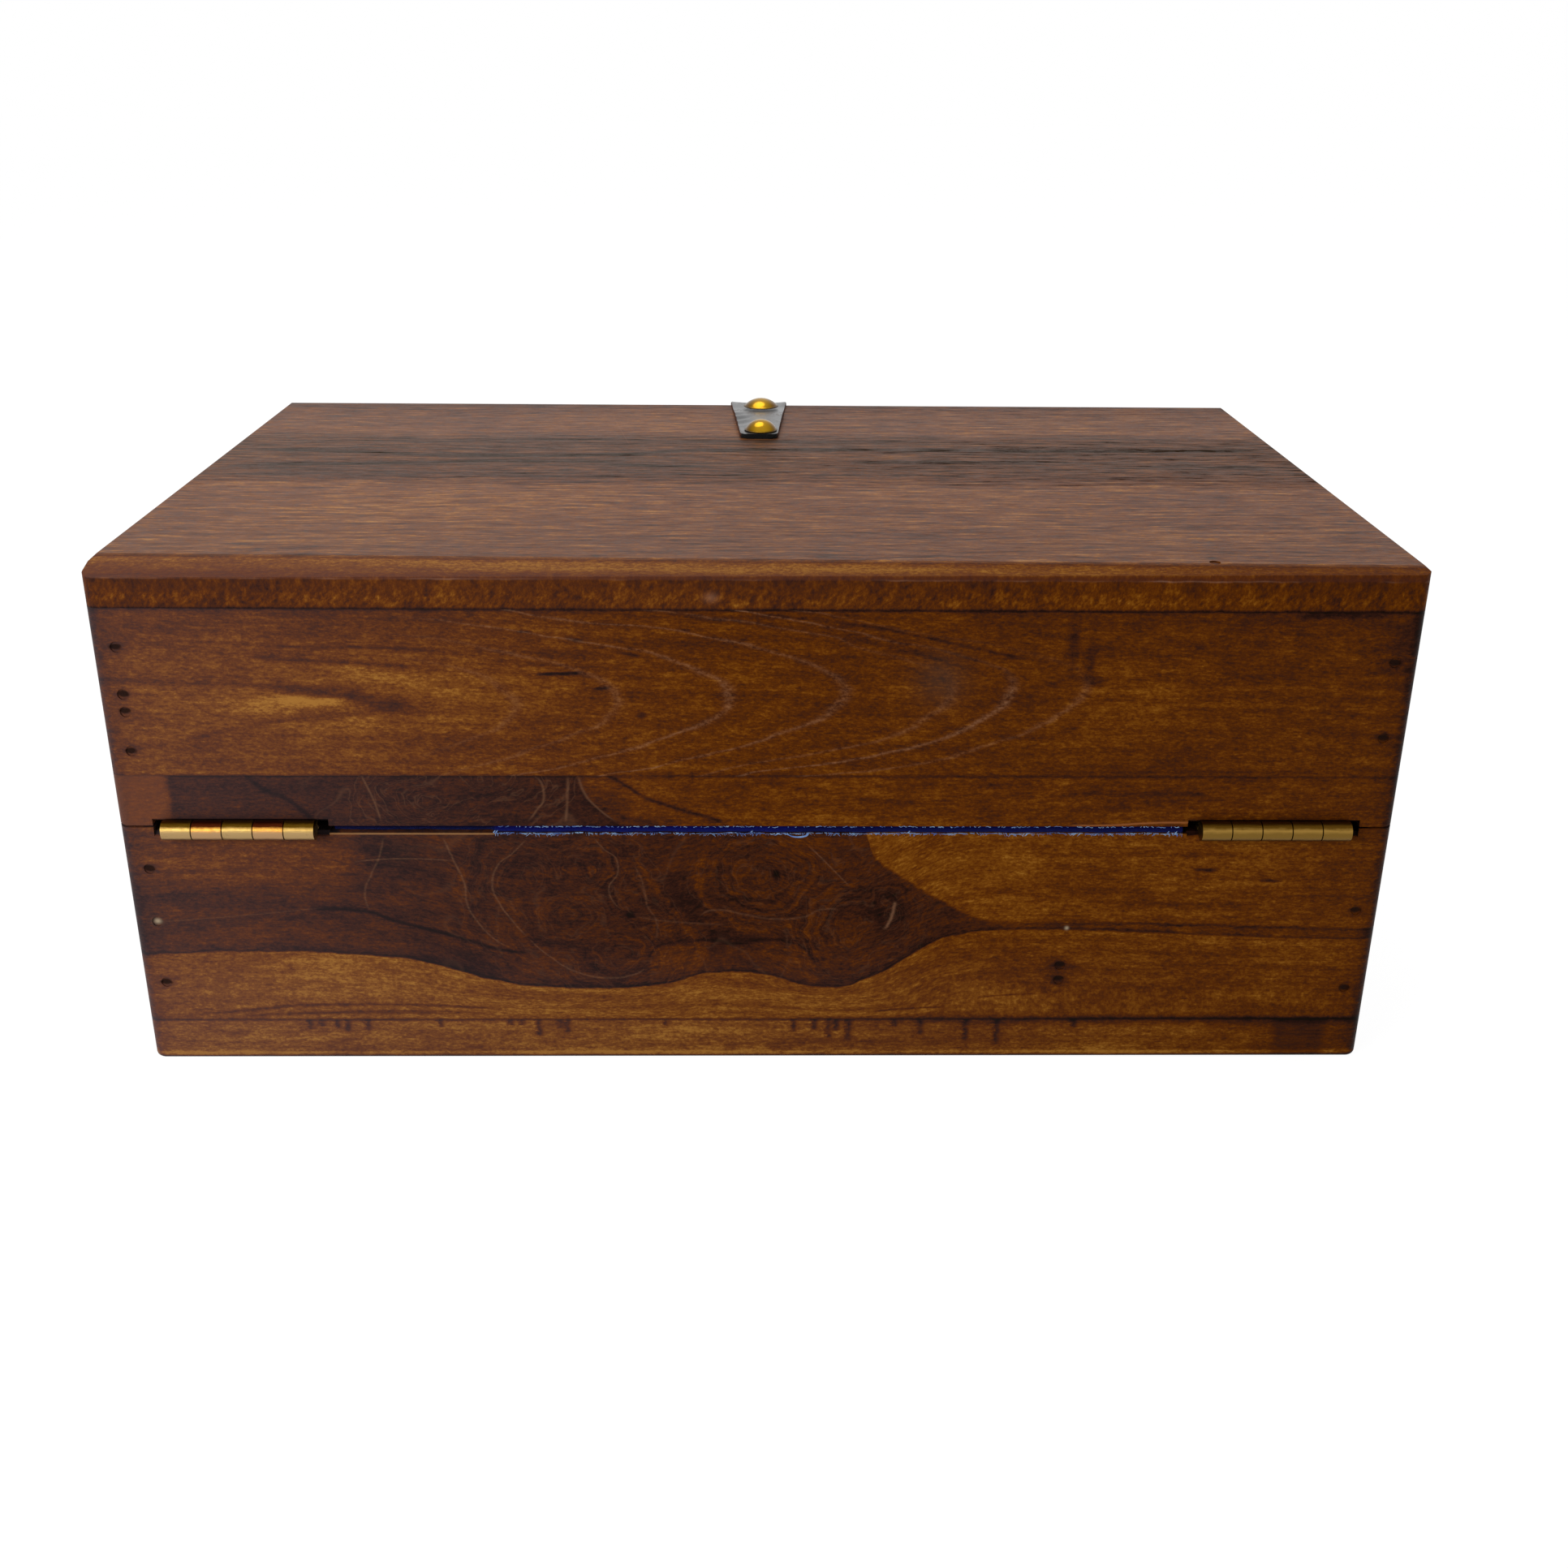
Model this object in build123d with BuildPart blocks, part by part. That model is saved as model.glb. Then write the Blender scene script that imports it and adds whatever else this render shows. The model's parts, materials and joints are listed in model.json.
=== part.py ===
from build123d import *
import math
import os

os.makedirs("parts", exist_ok=True)

# A writing box: a wooden case sawn through on a slope, hinged at the back, with cloth-covered flaps
# in both halves and a leather strap that buttons onto a stud at the front.
# Sizes are in millimetres. +X is to the right seen from the front, +Y points to the hinge side, +Z is up,
# and the origin is the middle of the underside.

# Case boards
case_width = 323.0
case_depth = 204.0
case_height = 136.0
wall = 10.0
top_board = 10.5
bottom_board = 12.0
lid_strip = 14.2
corner_radius = 3.0
foot_easing = 1.5

# Bevels of the top board: the back one is planed wider at the right end than at the left
back_bevel_right = 11.0
back_bevel_left = 4.5
back_bevel_drop = 2.9
side_bevel = 1.0
front_bevel = 2.6

# Saw cut between base and lid
slope_angle = 7.5
hinge_height = 68.0
hinge_proud = 1.6
saw_kerf = 0.6

# Cloth on the flaps and over the rims
cloth = 0.9
cloth_gap = 0.3
cloth_edge = 2.0
cloth_inset = 0.7

# Flaps, and the rails and ledges under them
flap_board = 5.0
flap_gap = 0.4
flap_side_gap = 0.8
flap_end_gap = 1.0
seat_gap = 0.3
rail_width = 12.0
rail_depth = 10.0
ledge_width = 6.0
ledge_depth = 8.0
finger_notch = 9.0

# Fittings inside the base
pen_bay = 54.0
divider = 6.0
ink_bay = 47.5
partition = 4.0
narrow_bay = 70.0
cross_board = 5.0
tray_thickness = 18.0
tray_drop = 5.5
tray_gap = 0.3
trough_width = 40.0
trough_depth = 12.0
trough_end = 6.0
bearer_width = 5.0
bearer_depth = 6.0

# Butt hinges
hinge_inset = 30.8
hinge_length = 38.0
barrel_radius = 2.5
barrel_clearance = 0.4
leaf_thickness = 1.2
leaf_width = 10.4
leaf_clearance = 0.2
notch_end = 3.0
knuckle_count = 5
knuckle_gap = 0.3
pin_radius = 1.2
pin_clearance = 0.05

# Hinge screws
screw_spacing = 24.0
screw_radius = 1.1
screw_head = 2.2
screw_length = 9.0
screw_slot = 0.5

# Nails
nail_radius = 0.9
nail_head = 1.4
nail_head_thickness = 0.8
nail_sink = 0.3
nail_length = 26.0
nail_inset = 6.3
foot_nail_inset_x = 34.0
foot_nail_inset_y = 57.0
top_nail_inset = 51.5

# Heights of the nails, as shares of the board they go through
base_back_nails_right = (0.204, 0.524, 0.794)
base_back_nails_left = (0.172, 0.583)
cross_nails = (0.213, 0.292)
base_front_nails = (0.145, 0.459, 0.773)
lid_back_nails_right = (0.150, 0.388, 0.494, 0.774)
lid_back_nails_left = (0.245, 0.704)
lid_front_nails = (0.314, 0.738)

# Strap
strap_thickness = 1.6
strap_width = 19.8
strap_end_width = 13.0
strap_end_radius = 2.0
strap_lie = 58.0
strap_face_gap = 1.0
strap_pivot_drop = 8.0
strap_joint_gap = 0.5
strap_lean = 12.0
strap_tip_length = 18.0
strap_tip_width = 15.0
strap_tip_radius = 5.0
buttonhole_radius = 4.6
buttonhole_slit = 8.0
slit_width = 0.8

# Tacks and stud
tack_spacing = 39.0
front_tack_inset = 13.4
tack_radii = (5.3, 6.3)
tack_heights = (3.6, 3.4)
tack_pin_radius = 1.0
tack_pin_length = 8.0
stud_rim_drop = 14.8
stud_flange_radius = 4.0
stud_flange = 0.6
stud_neck_radius = 1.8
stud_ball_radius = 3.4
stud_ball_out = 6.0
stud_screw_radius = 1.5
stud_screw_length = 7.0

# Places that follow from the sizes
half_width = case_width / 2
half_depth = case_depth / 2
inner_x = half_width - wall
inner_y = half_depth - wall
hinge_x = half_width - hinge_inset
cross_divider_x = -inner_x + narrow_bay + cross_board / 2
lid_joint_z = case_height - top_board
strip_joint_z = hinge_height + lid_strip
axis_y = half_depth + hinge_proud
axis_z = hinge_height
slope_sin = math.sin(math.radians(slope_angle))
slope_cos = math.cos(math.radians(slope_angle))

# Levels across the cut, measured square to it from the hinge axis
base_rim = -saw_kerf / 2
lid_rim = saw_kerf / 2
lid_cloth_face = lid_rim - cloth
base_cloth_face = lid_cloth_face - cloth_gap
base_bed = base_cloth_face - cloth
base_flap_under = base_bed - flap_board
base_seat = base_flap_under - seat_gap
base_rail_under = base_bed - rail_depth
lid_flap_over = lid_rim + flap_board
lid_seat = lid_flap_over + seat_gap
lid_rail_over = lid_rim + rail_depth


def rim_height(y, level):
    """Height of the plane at this level across the cut, above the point y."""
    return axis_z + (level + (axis_y - y) * slope_sin) / slope_cos


def rim_point(along, level):
    """Point (y, z) at a distance along the slope from the hinge axis, at a level across the cut."""
    y = axis_y - along * slope_cos + level * slope_sin
    z = axis_z + along * slope_sin + level * slope_cos
    return (y, z)


def rim_along(y, level):
    """Distance along the slope from the hinge axis to the upright plane at y."""
    return (axis_y - y + level * slope_sin) / slope_cos


def rim_plane(level, x=0.0, facing=1.0):
    """Plane parallel to the cut; local y runs back along the slope, towards the hinges."""
    y, z = rim_point(0.0, level)
    return Plane(origin=(x, y, z), x_dir=(1, 0, 0), z_dir=(0, facing * slope_sin, facing * slope_cos))


rail_along = rim_along(inner_y, 0.0) + rail_width
cloth_rail_start = rim_along(inner_y, 0.0) + flap_gap
divider_front_y = -inner_y + pen_bay
divider_back_y = divider_front_y + divider
flap_start = rail_along + flap_gap
base_flap_end = rim_along(divider_back_y, base_flap_under) - flap_end_gap
lid_flap_end = rim_along(-inner_y, lid_cloth_face) - flap_end_gap
flap_half = inner_x - flap_side_gap
notch_half = hinge_length / 2 + notch_end
relief_half = hinge_x - notch_half
base_leaf_under = base_rim - leaf_thickness
lid_leaf_over = lid_rim + leaf_thickness
plate_start = barrel_radius + barrel_clearance
screw_along = (plate_start + leaf_width) / 2
sides = (("left", -1), ("right", 1))


def screw_seats(level, facing):
    """Places of the hinge screws on a leaf's face, with z out of the wood."""
    seats = []
    for side, sign in sides:
        for end in (-1, 1):
            y, z = rim_point(screw_along, level)
            x = sign * hinge_x + end * screw_spacing / 2
            normal = (0, facing * slope_sin, facing * slope_cos)
            seats.append(Location(Plane(origin=(x, y, z), x_dir=(1, 0, 0), z_dir=normal)))
    return seats


base_screw_seats = screw_seats(base_rim, 1)
lid_screw_seats = screw_seats(lid_rim, -1)


def face_seats(x, y, facing, heights):
    """Places of nails on an upright face at y, with z out of the face."""
    normal = (0, facing, 0)
    return [Location(Plane(origin=(x, y, z), x_dir=(1, 0, 0), z_dir=normal)) for z in heights]


def between(low, high, shares):
    """Heights at these shares of the way from low to high."""
    return [low + (high - low) * share for share in shares]


# Nail places: in the corners, into the cross divider, up through the bottom and down through the top
nail_x = half_width - nail_inset
nail_y = half_depth - nail_sink
back_rim_z = rim_height(half_depth, base_rim)
front_rim_z = rim_height(-half_depth, base_rim)
cross_seats = face_seats(cross_divider_x, nail_y, 1, between(bottom_board, back_rim_z, cross_nails))
base_back_seats = []
base_front_seats = []
lid_back_seats = []
lid_front_seats = []
nail_sides = (
    (nail_x, base_back_nails_right, lid_back_nails_right),
    (-nail_x, base_back_nails_left, lid_back_nails_left),
)
for x, base_shares, lid_shares in nail_sides:
    base_back_seats += face_seats(x, nail_y, 1, between(bottom_board, back_rim_z, base_shares))
    base_front_seats += face_seats(x, -nail_y, -1, between(bottom_board, front_rim_z, base_front_nails))
    lid_back_seats += face_seats(x, nail_y, 1, between(strip_joint_z, lid_joint_z, lid_shares))
    lid_front_seats += face_seats(x, -nail_y, -1, between(front_rim_z, lid_joint_z, lid_front_nails))
foot_wall_y = half_depth - wall / 2
foot_wall_x = half_width - wall / 2
foot_row_x = half_width - foot_nail_inset_x
foot_row_y = half_depth - foot_nail_inset_y
foot_steps = (-1, -1 / 3, 1 / 3, 1)


def foot_seat(x, y):
    """Place of a nail on the underside, with z down out of the board."""
    return Location(Plane(origin=(x, y, nail_sink), x_dir=(1, 0, 0), z_dir=(0, 0, -1)))


foot_back_seats = [foot_seat(step * foot_row_x, foot_wall_y) for step in foot_steps]
foot_front_seats = [foot_seat(step * foot_row_x, -foot_wall_y) for step in foot_steps]
foot_side_seats = {
    side: [foot_seat(sign * foot_wall_x, y) for y in (-foot_row_y, foot_row_y)]
    for side, sign in sides
}
top_seat = Location(
    (-half_width + top_nail_inset, half_depth - wall / 2 - nail_head, case_height - nail_sink)
)


def drive_holes(seats):
    """Holes for nails whose heads lie a little below the face."""
    with Locations(*seats):
        CounterBoreHole(
            radius=nail_radius,
            counter_bore_radius=nail_head,
            counter_bore_depth=nail_head_thickness,
            depth=nail_length,
        )
        Cylinder(nail_head, nail_sink, align=(Align.CENTER, Align.CENTER, Align.MIN), mode=Mode.SUBTRACT)


def nails(seats):
    """Nails driven in at their places."""
    with Locations(*seats):
        Cylinder(nail_radius, nail_length, align=(Align.CENTER, Align.CENTER, Align.MAX))
        Cylinder(nail_head, nail_head_thickness, align=(Align.CENTER, Align.CENTER, Align.MAX))


# Bottom board, with its lower edge eased
with BuildPart() as base_bottom_board:
    with BuildSketch(Plane.XY):
        RectangleRounded(case_width, case_depth, corner_radius)
    extrude(amount=bottom_board)
    fillet(base_bottom_board.edges().group_by(Axis.Z)[0], foot_easing)
    drive_holes(foot_back_seats + foot_front_seats + foot_side_seats["left"] + foot_side_seats["right"])
base_bottom_board.part.label = "base_bottom_board"
export_step(base_bottom_board.part, "parts/base_bottom_board.step")

# Back board of the base, notched for the hinges and relieved between them for the folded cloth
with BuildPart() as base_back_board:
    with BuildSketch(Plane.XY.offset(bottom_board)):
        with Locations((0, half_depth - wall / 2)):
            Rectangle(case_width, wall)
    extrude(amount=rim_height(inner_y, lid_rim) - bottom_board)
    fillet(base_back_board.edges().filter_by(Axis.Z).group_by(Axis.Y)[-1], corner_radius)
    split(bisect_by=rim_plane(base_rim), keep=Keep.BOTTOM)
    with BuildSketch(rim_plane(base_bed)):
        Rectangle(2 * relief_half, 2 * rail_along)
    extrude(amount=wall, mode=Mode.SUBTRACT)
    with BuildSketch(rim_plane(base_leaf_under)):
        for side, sign in sides:
            with Locations((sign * hinge_x, -(leaf_width + leaf_clearance) / 2)):
                Rectangle(2 * notch_half, leaf_width + leaf_clearance)
    extrude(amount=leaf_thickness + saw_kerf, mode=Mode.SUBTRACT)
    for side, sign in sides:
        with BuildSketch(Plane.YZ.offset(sign * hinge_x)):
            with Locations((axis_y, axis_z)):
                Circle(barrel_radius + barrel_clearance)
        extrude(amount=notch_half, both=True, mode=Mode.SUBTRACT)
    with Locations(*base_screw_seats):
        Hole(screw_radius, depth=screw_length)
    drive_holes(base_back_seats + cross_seats + foot_back_seats)
base_back_board.part.label = "base_back_board"
export_step(base_back_board.part, "parts/base_back_board.step")

# Front board of the base, bored for the stud
strap_y = -(half_depth + strap_face_gap + strap_thickness / 2)
strap_pivot_z = case_height - strap_pivot_drop
stud_z = front_rim_z - stud_rim_drop
stud_drop = strap_pivot_z - stud_z
strap_tail = stud_drop + strap_tip_length
stud_plane = Plane(origin=(0, -half_depth, stud_z), x_dir=(1, 0, 0), z_dir=(0, -1, 0))
with BuildPart() as base_front_board:
    with BuildSketch(Plane.XY.offset(bottom_board)):
        with Locations((0, -half_depth + wall / 2)):
            Rectangle(case_width, wall)
    extrude(amount=rim_height(-half_depth, lid_rim) - bottom_board)
    fillet(base_front_board.edges().filter_by(Axis.Z).group_by(Axis.Y)[0], corner_radius)
    split(bisect_by=rim_plane(base_rim), keep=Keep.BOTTOM)
    with Locations(Location(stud_plane)):
        Hole(stud_screw_radius, depth=stud_screw_length)
    drive_holes(base_front_seats + foot_front_seats)
base_front_board.part.label = "base_front_board"
export_step(base_front_board.part, "parts/base_front_board.step")

# Side boards of both halves, with sloping rims, butted between the front and back boards
for side, sign in sides:
    side_plane = Plane.YZ.offset(sign * (half_width - wall / 2))
    with BuildPart() as base_side:
        with BuildSketch(side_plane):
            with BuildLine():
                Polyline(
                    (-inner_y, bottom_board),
                    (inner_y, bottom_board),
                    (inner_y, rim_height(inner_y, base_rim)),
                    (-inner_y, rim_height(-inner_y, base_rim)),
                    close=True,
                )
            make_face()
        extrude(amount=wall / 2, both=True)
        drive_holes(base_back_seats + base_front_seats + foot_side_seats[side])
    base_side.part.label = f"base_side_{side}"
    export_step(base_side.part, f"parts/base_side_{side}.step")
    with BuildPart() as lid_side:
        with BuildSketch(side_plane):
            with BuildLine():
                Polyline(
                    (-inner_y, rim_height(-inner_y, lid_rim)),
                    (inner_y, rim_height(inner_y, lid_rim)),
                    (inner_y, lid_joint_z),
                    (-inner_y, lid_joint_z),
                    close=True,
                )
            make_face()
        extrude(amount=wall / 2, both=True)
        drive_holes(lid_back_seats + lid_front_seats)
    lid_side.part.label = f"lid_side_{side}"
    export_step(lid_side.part, f"parts/lid_side_{side}.step")

# Long divider between the pen bay and the paper compartment
with BuildPart() as bay_divider:
    with BuildSketch(Plane.YZ):
        with BuildLine():
            Polyline(
                (divider_front_y, bottom_board),
                (divider_back_y, bottom_board),
                (divider_back_y, rim_height(divider_back_y, base_cloth_face)),
                (divider_front_y, rim_height(divider_front_y, base_cloth_face)),
                close=True,
            )
        make_face()
    extrude(amount=inner_x, both=True)
bay_divider.part.label = "bay_divider"
export_step(bay_divider.part, "parts/bay_divider.step")

# Cross divider under the flap, nailed through the back board
with BuildPart() as cross_divider:
    with BuildSketch(Plane.YZ.offset(cross_divider_x)):
        with BuildLine():
            Polyline(
                (divider_back_y, bottom_board),
                (inner_y, bottom_board),
                (inner_y, rim_height(inner_y, base_rail_under)),
                rim_point(rail_along, base_rail_under),
                rim_point(rail_along, base_seat),
                (divider_back_y, rim_height(divider_back_y, base_seat)),
                close=True,
            )
        make_face()
    extrude(amount=cross_board / 2, both=True)
    drive_holes(cross_seats)
cross_divider.part.label = "cross_divider"
export_step(cross_divider.part, "parts/cross_divider.step")

# Partitions of the two ink bays
partition_x = inner_x - ink_bay - partition / 2
for side, sign in sides:
    with BuildPart() as ink_partition:
        with BuildSketch(Plane.YZ.offset(sign * partition_x)):
            with BuildLine():
                Polyline(
                    (-inner_y, bottom_board),
                    (divider_front_y, bottom_board),
                    (divider_front_y, rim_height(divider_front_y, base_cloth_face)),
                    (-inner_y, rim_height(-inner_y, base_cloth_face)),
                    close=True,
                )
            make_face()
        extrude(amount=partition / 2, both=True)
    ink_partition.part.label = f"ink_partition_{side}"
    export_step(ink_partition.part, f"parts/ink_partition_{side}.step")

# Pen tray with a scooped trough, lying on bearers fixed to the partitions
tray_half = partition_x - partition / 2 - tray_gap
tray_y = (divider_front_y - inner_y) / 2
tray_top = rim_height(divider_front_y, base_cloth_face) - tray_drop
tray_under = tray_top - tray_thickness
trough_radius = (trough_width**2 / 4 + trough_depth**2) / (2 * trough_depth)
trough_centre_z = tray_top + trough_radius - trough_depth
trough_half = tray_half - trough_end - trough_width / 2
with BuildPart() as pen_tray:
    with BuildSketch(Plane.XY.offset(tray_under)):
        with Locations((0, tray_y)):
            Rectangle(2 * tray_half, pen_bay - 2 * tray_gap)
    extrude(amount=tray_thickness)
    with BuildSketch(Plane.YZ):
        with Locations((tray_y, trough_centre_z)):
            Circle(trough_radius)
    extrude(amount=trough_half, both=True, mode=Mode.SUBTRACT)
    with Locations(*[(sign * trough_half, tray_y, trough_centre_z) for side, sign in sides]):
        Sphere(trough_radius, mode=Mode.SUBTRACT)
pen_tray.part.label = "pen_tray"
export_step(pen_tray.part, "parts/pen_tray.step")

with BuildPart() as tray_bearers:
    bearer_x = partition_x - partition / 2 - bearer_width / 2
    with BuildSketch(Plane.XY.offset(tray_under - bearer_depth)):
        with Locations((-bearer_x, tray_y), (bearer_x, tray_y)):
            Rectangle(bearer_width, pen_bay)
    extrude(amount=bearer_depth)
tray_bearers.part.label = "tray_bearers"
export_step(tray_bearers.part, "parts/tray_bearers.step")

# Rails along the back walls, where the flaps' cloth is glued down
with BuildPart() as base_hinge_rail:
    with BuildSketch(Plane.YZ):
        with BuildLine():
            Polyline(
                (inner_y, rim_height(inner_y, base_bed)),
                rim_point(rail_along, base_bed),
                rim_point(rail_along, base_rail_under),
                (inner_y, rim_height(inner_y, base_rail_under)),
                close=True,
            )
        make_face()
    extrude(amount=inner_x, both=True)
base_hinge_rail.part.label = "base_hinge_rail"
export_step(base_hinge_rail.part, "parts/base_hinge_rail.step")

with BuildPart() as lid_hinge_rail:
    with BuildSketch(Plane.YZ):
        with BuildLine():
            Polyline(
                (inner_y, rim_height(inner_y, lid_rim)),
                rim_point(rail_along, lid_rim),
                rim_point(rail_along, lid_rail_over),
                (inner_y, rim_height(inner_y, lid_rail_over)),
                close=True,
            )
        make_face()
    extrude(amount=inner_x, both=True)
lid_hinge_rail.part.label = "lid_hinge_rail"
export_step(lid_hinge_rail.part, "parts/lid_hinge_rail.step")

# Ledges along the sides, on which the flaps lie
for side, sign in sides:
    ledge_plane = Plane.YZ.offset(sign * (inner_x - ledge_width / 2))
    with BuildPart() as base_ledge:
        with BuildSketch(ledge_plane):
            with BuildLine():
                Polyline(
                    rim_point(rail_along, base_seat),
                    rim_point(rail_along, base_seat - ledge_depth),
                    (divider_back_y, rim_height(divider_back_y, base_seat - ledge_depth)),
                    (divider_back_y, rim_height(divider_back_y, base_seat)),
                    close=True,
                )
            make_face()
        extrude(amount=ledge_width / 2, both=True)
    base_ledge.part.label = f"base_ledge_{side}"
    export_step(base_ledge.part, f"parts/base_ledge_{side}.step")
    with BuildPart() as lid_ledge:
        with BuildSketch(ledge_plane):
            with BuildLine():
                Polyline(
                    rim_point(rail_along, lid_seat),
                    rim_point(rail_along, lid_seat + ledge_depth),
                    (-inner_y, rim_height(-inner_y, lid_seat + ledge_depth)),
                    (-inner_y, rim_height(-inner_y, lid_seat)),
                    close=True,
                )
            make_face()
        extrude(amount=ledge_width / 2, both=True)
    lid_ledge.part.label = f"lid_ledge_{side}"
    export_step(lid_ledge.part, f"parts/lid_ledge_{side}.step")

# Flap boards, each with a finger notch in its free edge
flaps = (("base", base_flap_under, base_bed, base_flap_end), ("lid", lid_rim, lid_cloth_face, lid_flap_end))
for half, board_level, cloth_level, flap_end in flaps:
    with BuildPart() as flap:
        with BuildSketch(rim_plane(board_level)):
            with Locations((0, -(flap_start + flap_end) / 2)):
                Rectangle(2 * flap_half, flap_end - flap_start)
            with Locations((0, -flap_end)):
                Circle(finger_notch, mode=Mode.SUBTRACT)
        extrude(amount=flap_board)
    flap.part.label = f"{half}_flap_board"
    export_step(flap.part, f"parts/{half}_flap_board.step")
    with BuildPart() as flap_cloth:
        with BuildSketch(rim_plane(cloth_level)):
            with Locations((0, -(flap_start + flap_end) / 2)):
                Rectangle(2 * flap_half, flap_end - flap_start)
            with Locations((0, -flap_end)):
                Circle(finger_notch, mode=Mode.SUBTRACT)
        extrude(amount=cloth)
    flap_cloth.part.label = f"{half}_flap_cloth"
    export_step(flap_cloth.part, f"parts/{half}_flap_cloth.step")

# Cloth over the rail and, between the hinges, over the back rim to the fold
cloth_half = relief_half - cloth_inset
for half, cloth_level in (("base", base_bed), ("lid", lid_cloth_face)):
    with BuildPart() as rim_cloth:
        with BuildSketch(rim_plane(cloth_level)):
            with Locations((0, -(cloth_rail_start + rail_along) / 2)):
                Rectangle(2 * flap_half, rail_along - cloth_rail_start)
            with Locations((0, -(cloth_edge + cloth_rail_start) / 2)):
                Rectangle(2 * cloth_half, cloth_rail_start - cloth_edge)
        extrude(amount=cloth)
    rim_cloth.part.label = f"{half}_rim_cloth"
    export_step(rim_cloth.part, f"parts/{half}_rim_cloth.step")


def plane_through(first, second, third):
    """Plane through three points, facing up."""
    normal = (Vector(*second) - Vector(*first)).cross(Vector(*third) - Vector(*first))
    if normal.Z < 0:
        normal = -normal
    return Plane(origin=first, x_dir=Vector(*second) - Vector(*first), z_dir=normal)


# Top board, bevelled by plane along its four edges
back_bevel_plane = plane_through(
    (half_width, half_depth - back_bevel_right, case_height),
    (-half_width, half_depth - back_bevel_left, case_height),
    (half_width, half_depth, case_height - back_bevel_drop),
)
front_bevel_plane = plane_through(
    (half_width, -half_depth + front_bevel, case_height),
    (-half_width, -half_depth + front_bevel, case_height),
    (half_width, -half_depth, case_height - front_bevel),
)
tack_insets = (front_tack_inset + tack_spacing, front_tack_inset)
tack_seats = [Location((0, -half_depth + inset, case_height + strap_thickness)) for inset in tack_insets]
with BuildPart() as lid_top_board:
    with BuildSketch(Plane.XY.offset(lid_joint_z)):
        RectangleRounded(case_width, case_depth, corner_radius)
    extrude(amount=top_board)
    split(bisect_by=back_bevel_plane, keep=Keep.BOTTOM)
    split(bisect_by=front_bevel_plane, keep=Keep.BOTTOM)
    for side, sign in sides:
        side_bevel_plane = plane_through(
            (sign * (half_width - side_bevel), half_depth, case_height),
            (sign * (half_width - side_bevel), -half_depth, case_height),
            (sign * half_width, half_depth, case_height - side_bevel),
        )
        split(bisect_by=side_bevel_plane, keep=Keep.BOTTOM)
    with Locations(*tack_seats):
        Hole(tack_pin_radius, depth=tack_pin_length)
    drive_holes([top_seat])
lid_top_board.part.label = "lid_top_board"
export_step(lid_top_board.part, "parts/lid_top_board.step")

# Back of the lid: a wide board over a narrow strip that carries the hinges
with BuildPart() as lid_back_board:
    with BuildSketch(Plane.XY.offset(strip_joint_z)):
        with Locations((0, half_depth - wall / 2)):
            Rectangle(case_width, wall)
    extrude(amount=lid_joint_z - strip_joint_z)
    fillet(lid_back_board.edges().filter_by(Axis.Z).group_by(Axis.Y)[-1], corner_radius)
    drive_holes(lid_back_seats + [top_seat])
lid_back_board.part.label = "lid_back_board"
export_step(lid_back_board.part, "parts/lid_back_board.step")

with BuildPart() as lid_back_strip:
    with BuildSketch(Plane.XY.offset(hinge_height - barrel_radius)):
        with Locations((0, half_depth - wall / 2)):
            Rectangle(case_width, wall)
    extrude(amount=strip_joint_z - hinge_height + barrel_radius)
    fillet(lid_back_strip.edges().filter_by(Axis.Z).group_by(Axis.Y)[-1], corner_radius)
    split(bisect_by=rim_plane(lid_rim), keep=Keep.TOP)
    with BuildSketch(rim_plane(lid_leaf_over)):
        for side, sign in sides:
            with Locations((sign * hinge_x, -(leaf_width + leaf_clearance) / 2)):
                Rectangle(2 * notch_half, leaf_width + leaf_clearance)
    extrude(amount=-(leaf_thickness + saw_kerf), mode=Mode.SUBTRACT)
    for side, sign in sides:
        with BuildSketch(Plane.YZ.offset(sign * hinge_x)):
            with Locations((axis_y, axis_z)):
                Circle(barrel_radius + barrel_clearance)
        extrude(amount=notch_half, both=True, mode=Mode.SUBTRACT)
    with Locations(*lid_screw_seats):
        Hole(screw_radius, depth=screw_length)
lid_back_strip.part.label = "lid_back_strip"
export_step(lid_back_strip.part, "parts/lid_back_strip.step")

# Front board of the lid
with BuildPart() as lid_front_board:
    with BuildSketch(Plane.XY.offset(rim_height(-inner_y, base_rim))):
        with Locations((0, -half_depth + wall / 2)):
            Rectangle(case_width, wall)
    extrude(amount=lid_joint_z - rim_height(-inner_y, base_rim))
    fillet(lid_front_board.edges().filter_by(Axis.Z).group_by(Axis.Y)[0], corner_radius)
    split(bisect_by=rim_plane(lid_rim), keep=Keep.TOP)
    drive_holes(lid_front_seats)
lid_front_board.part.label = "lid_front_board"
export_step(lid_front_board.part, "parts/lid_front_board.step")

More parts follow.
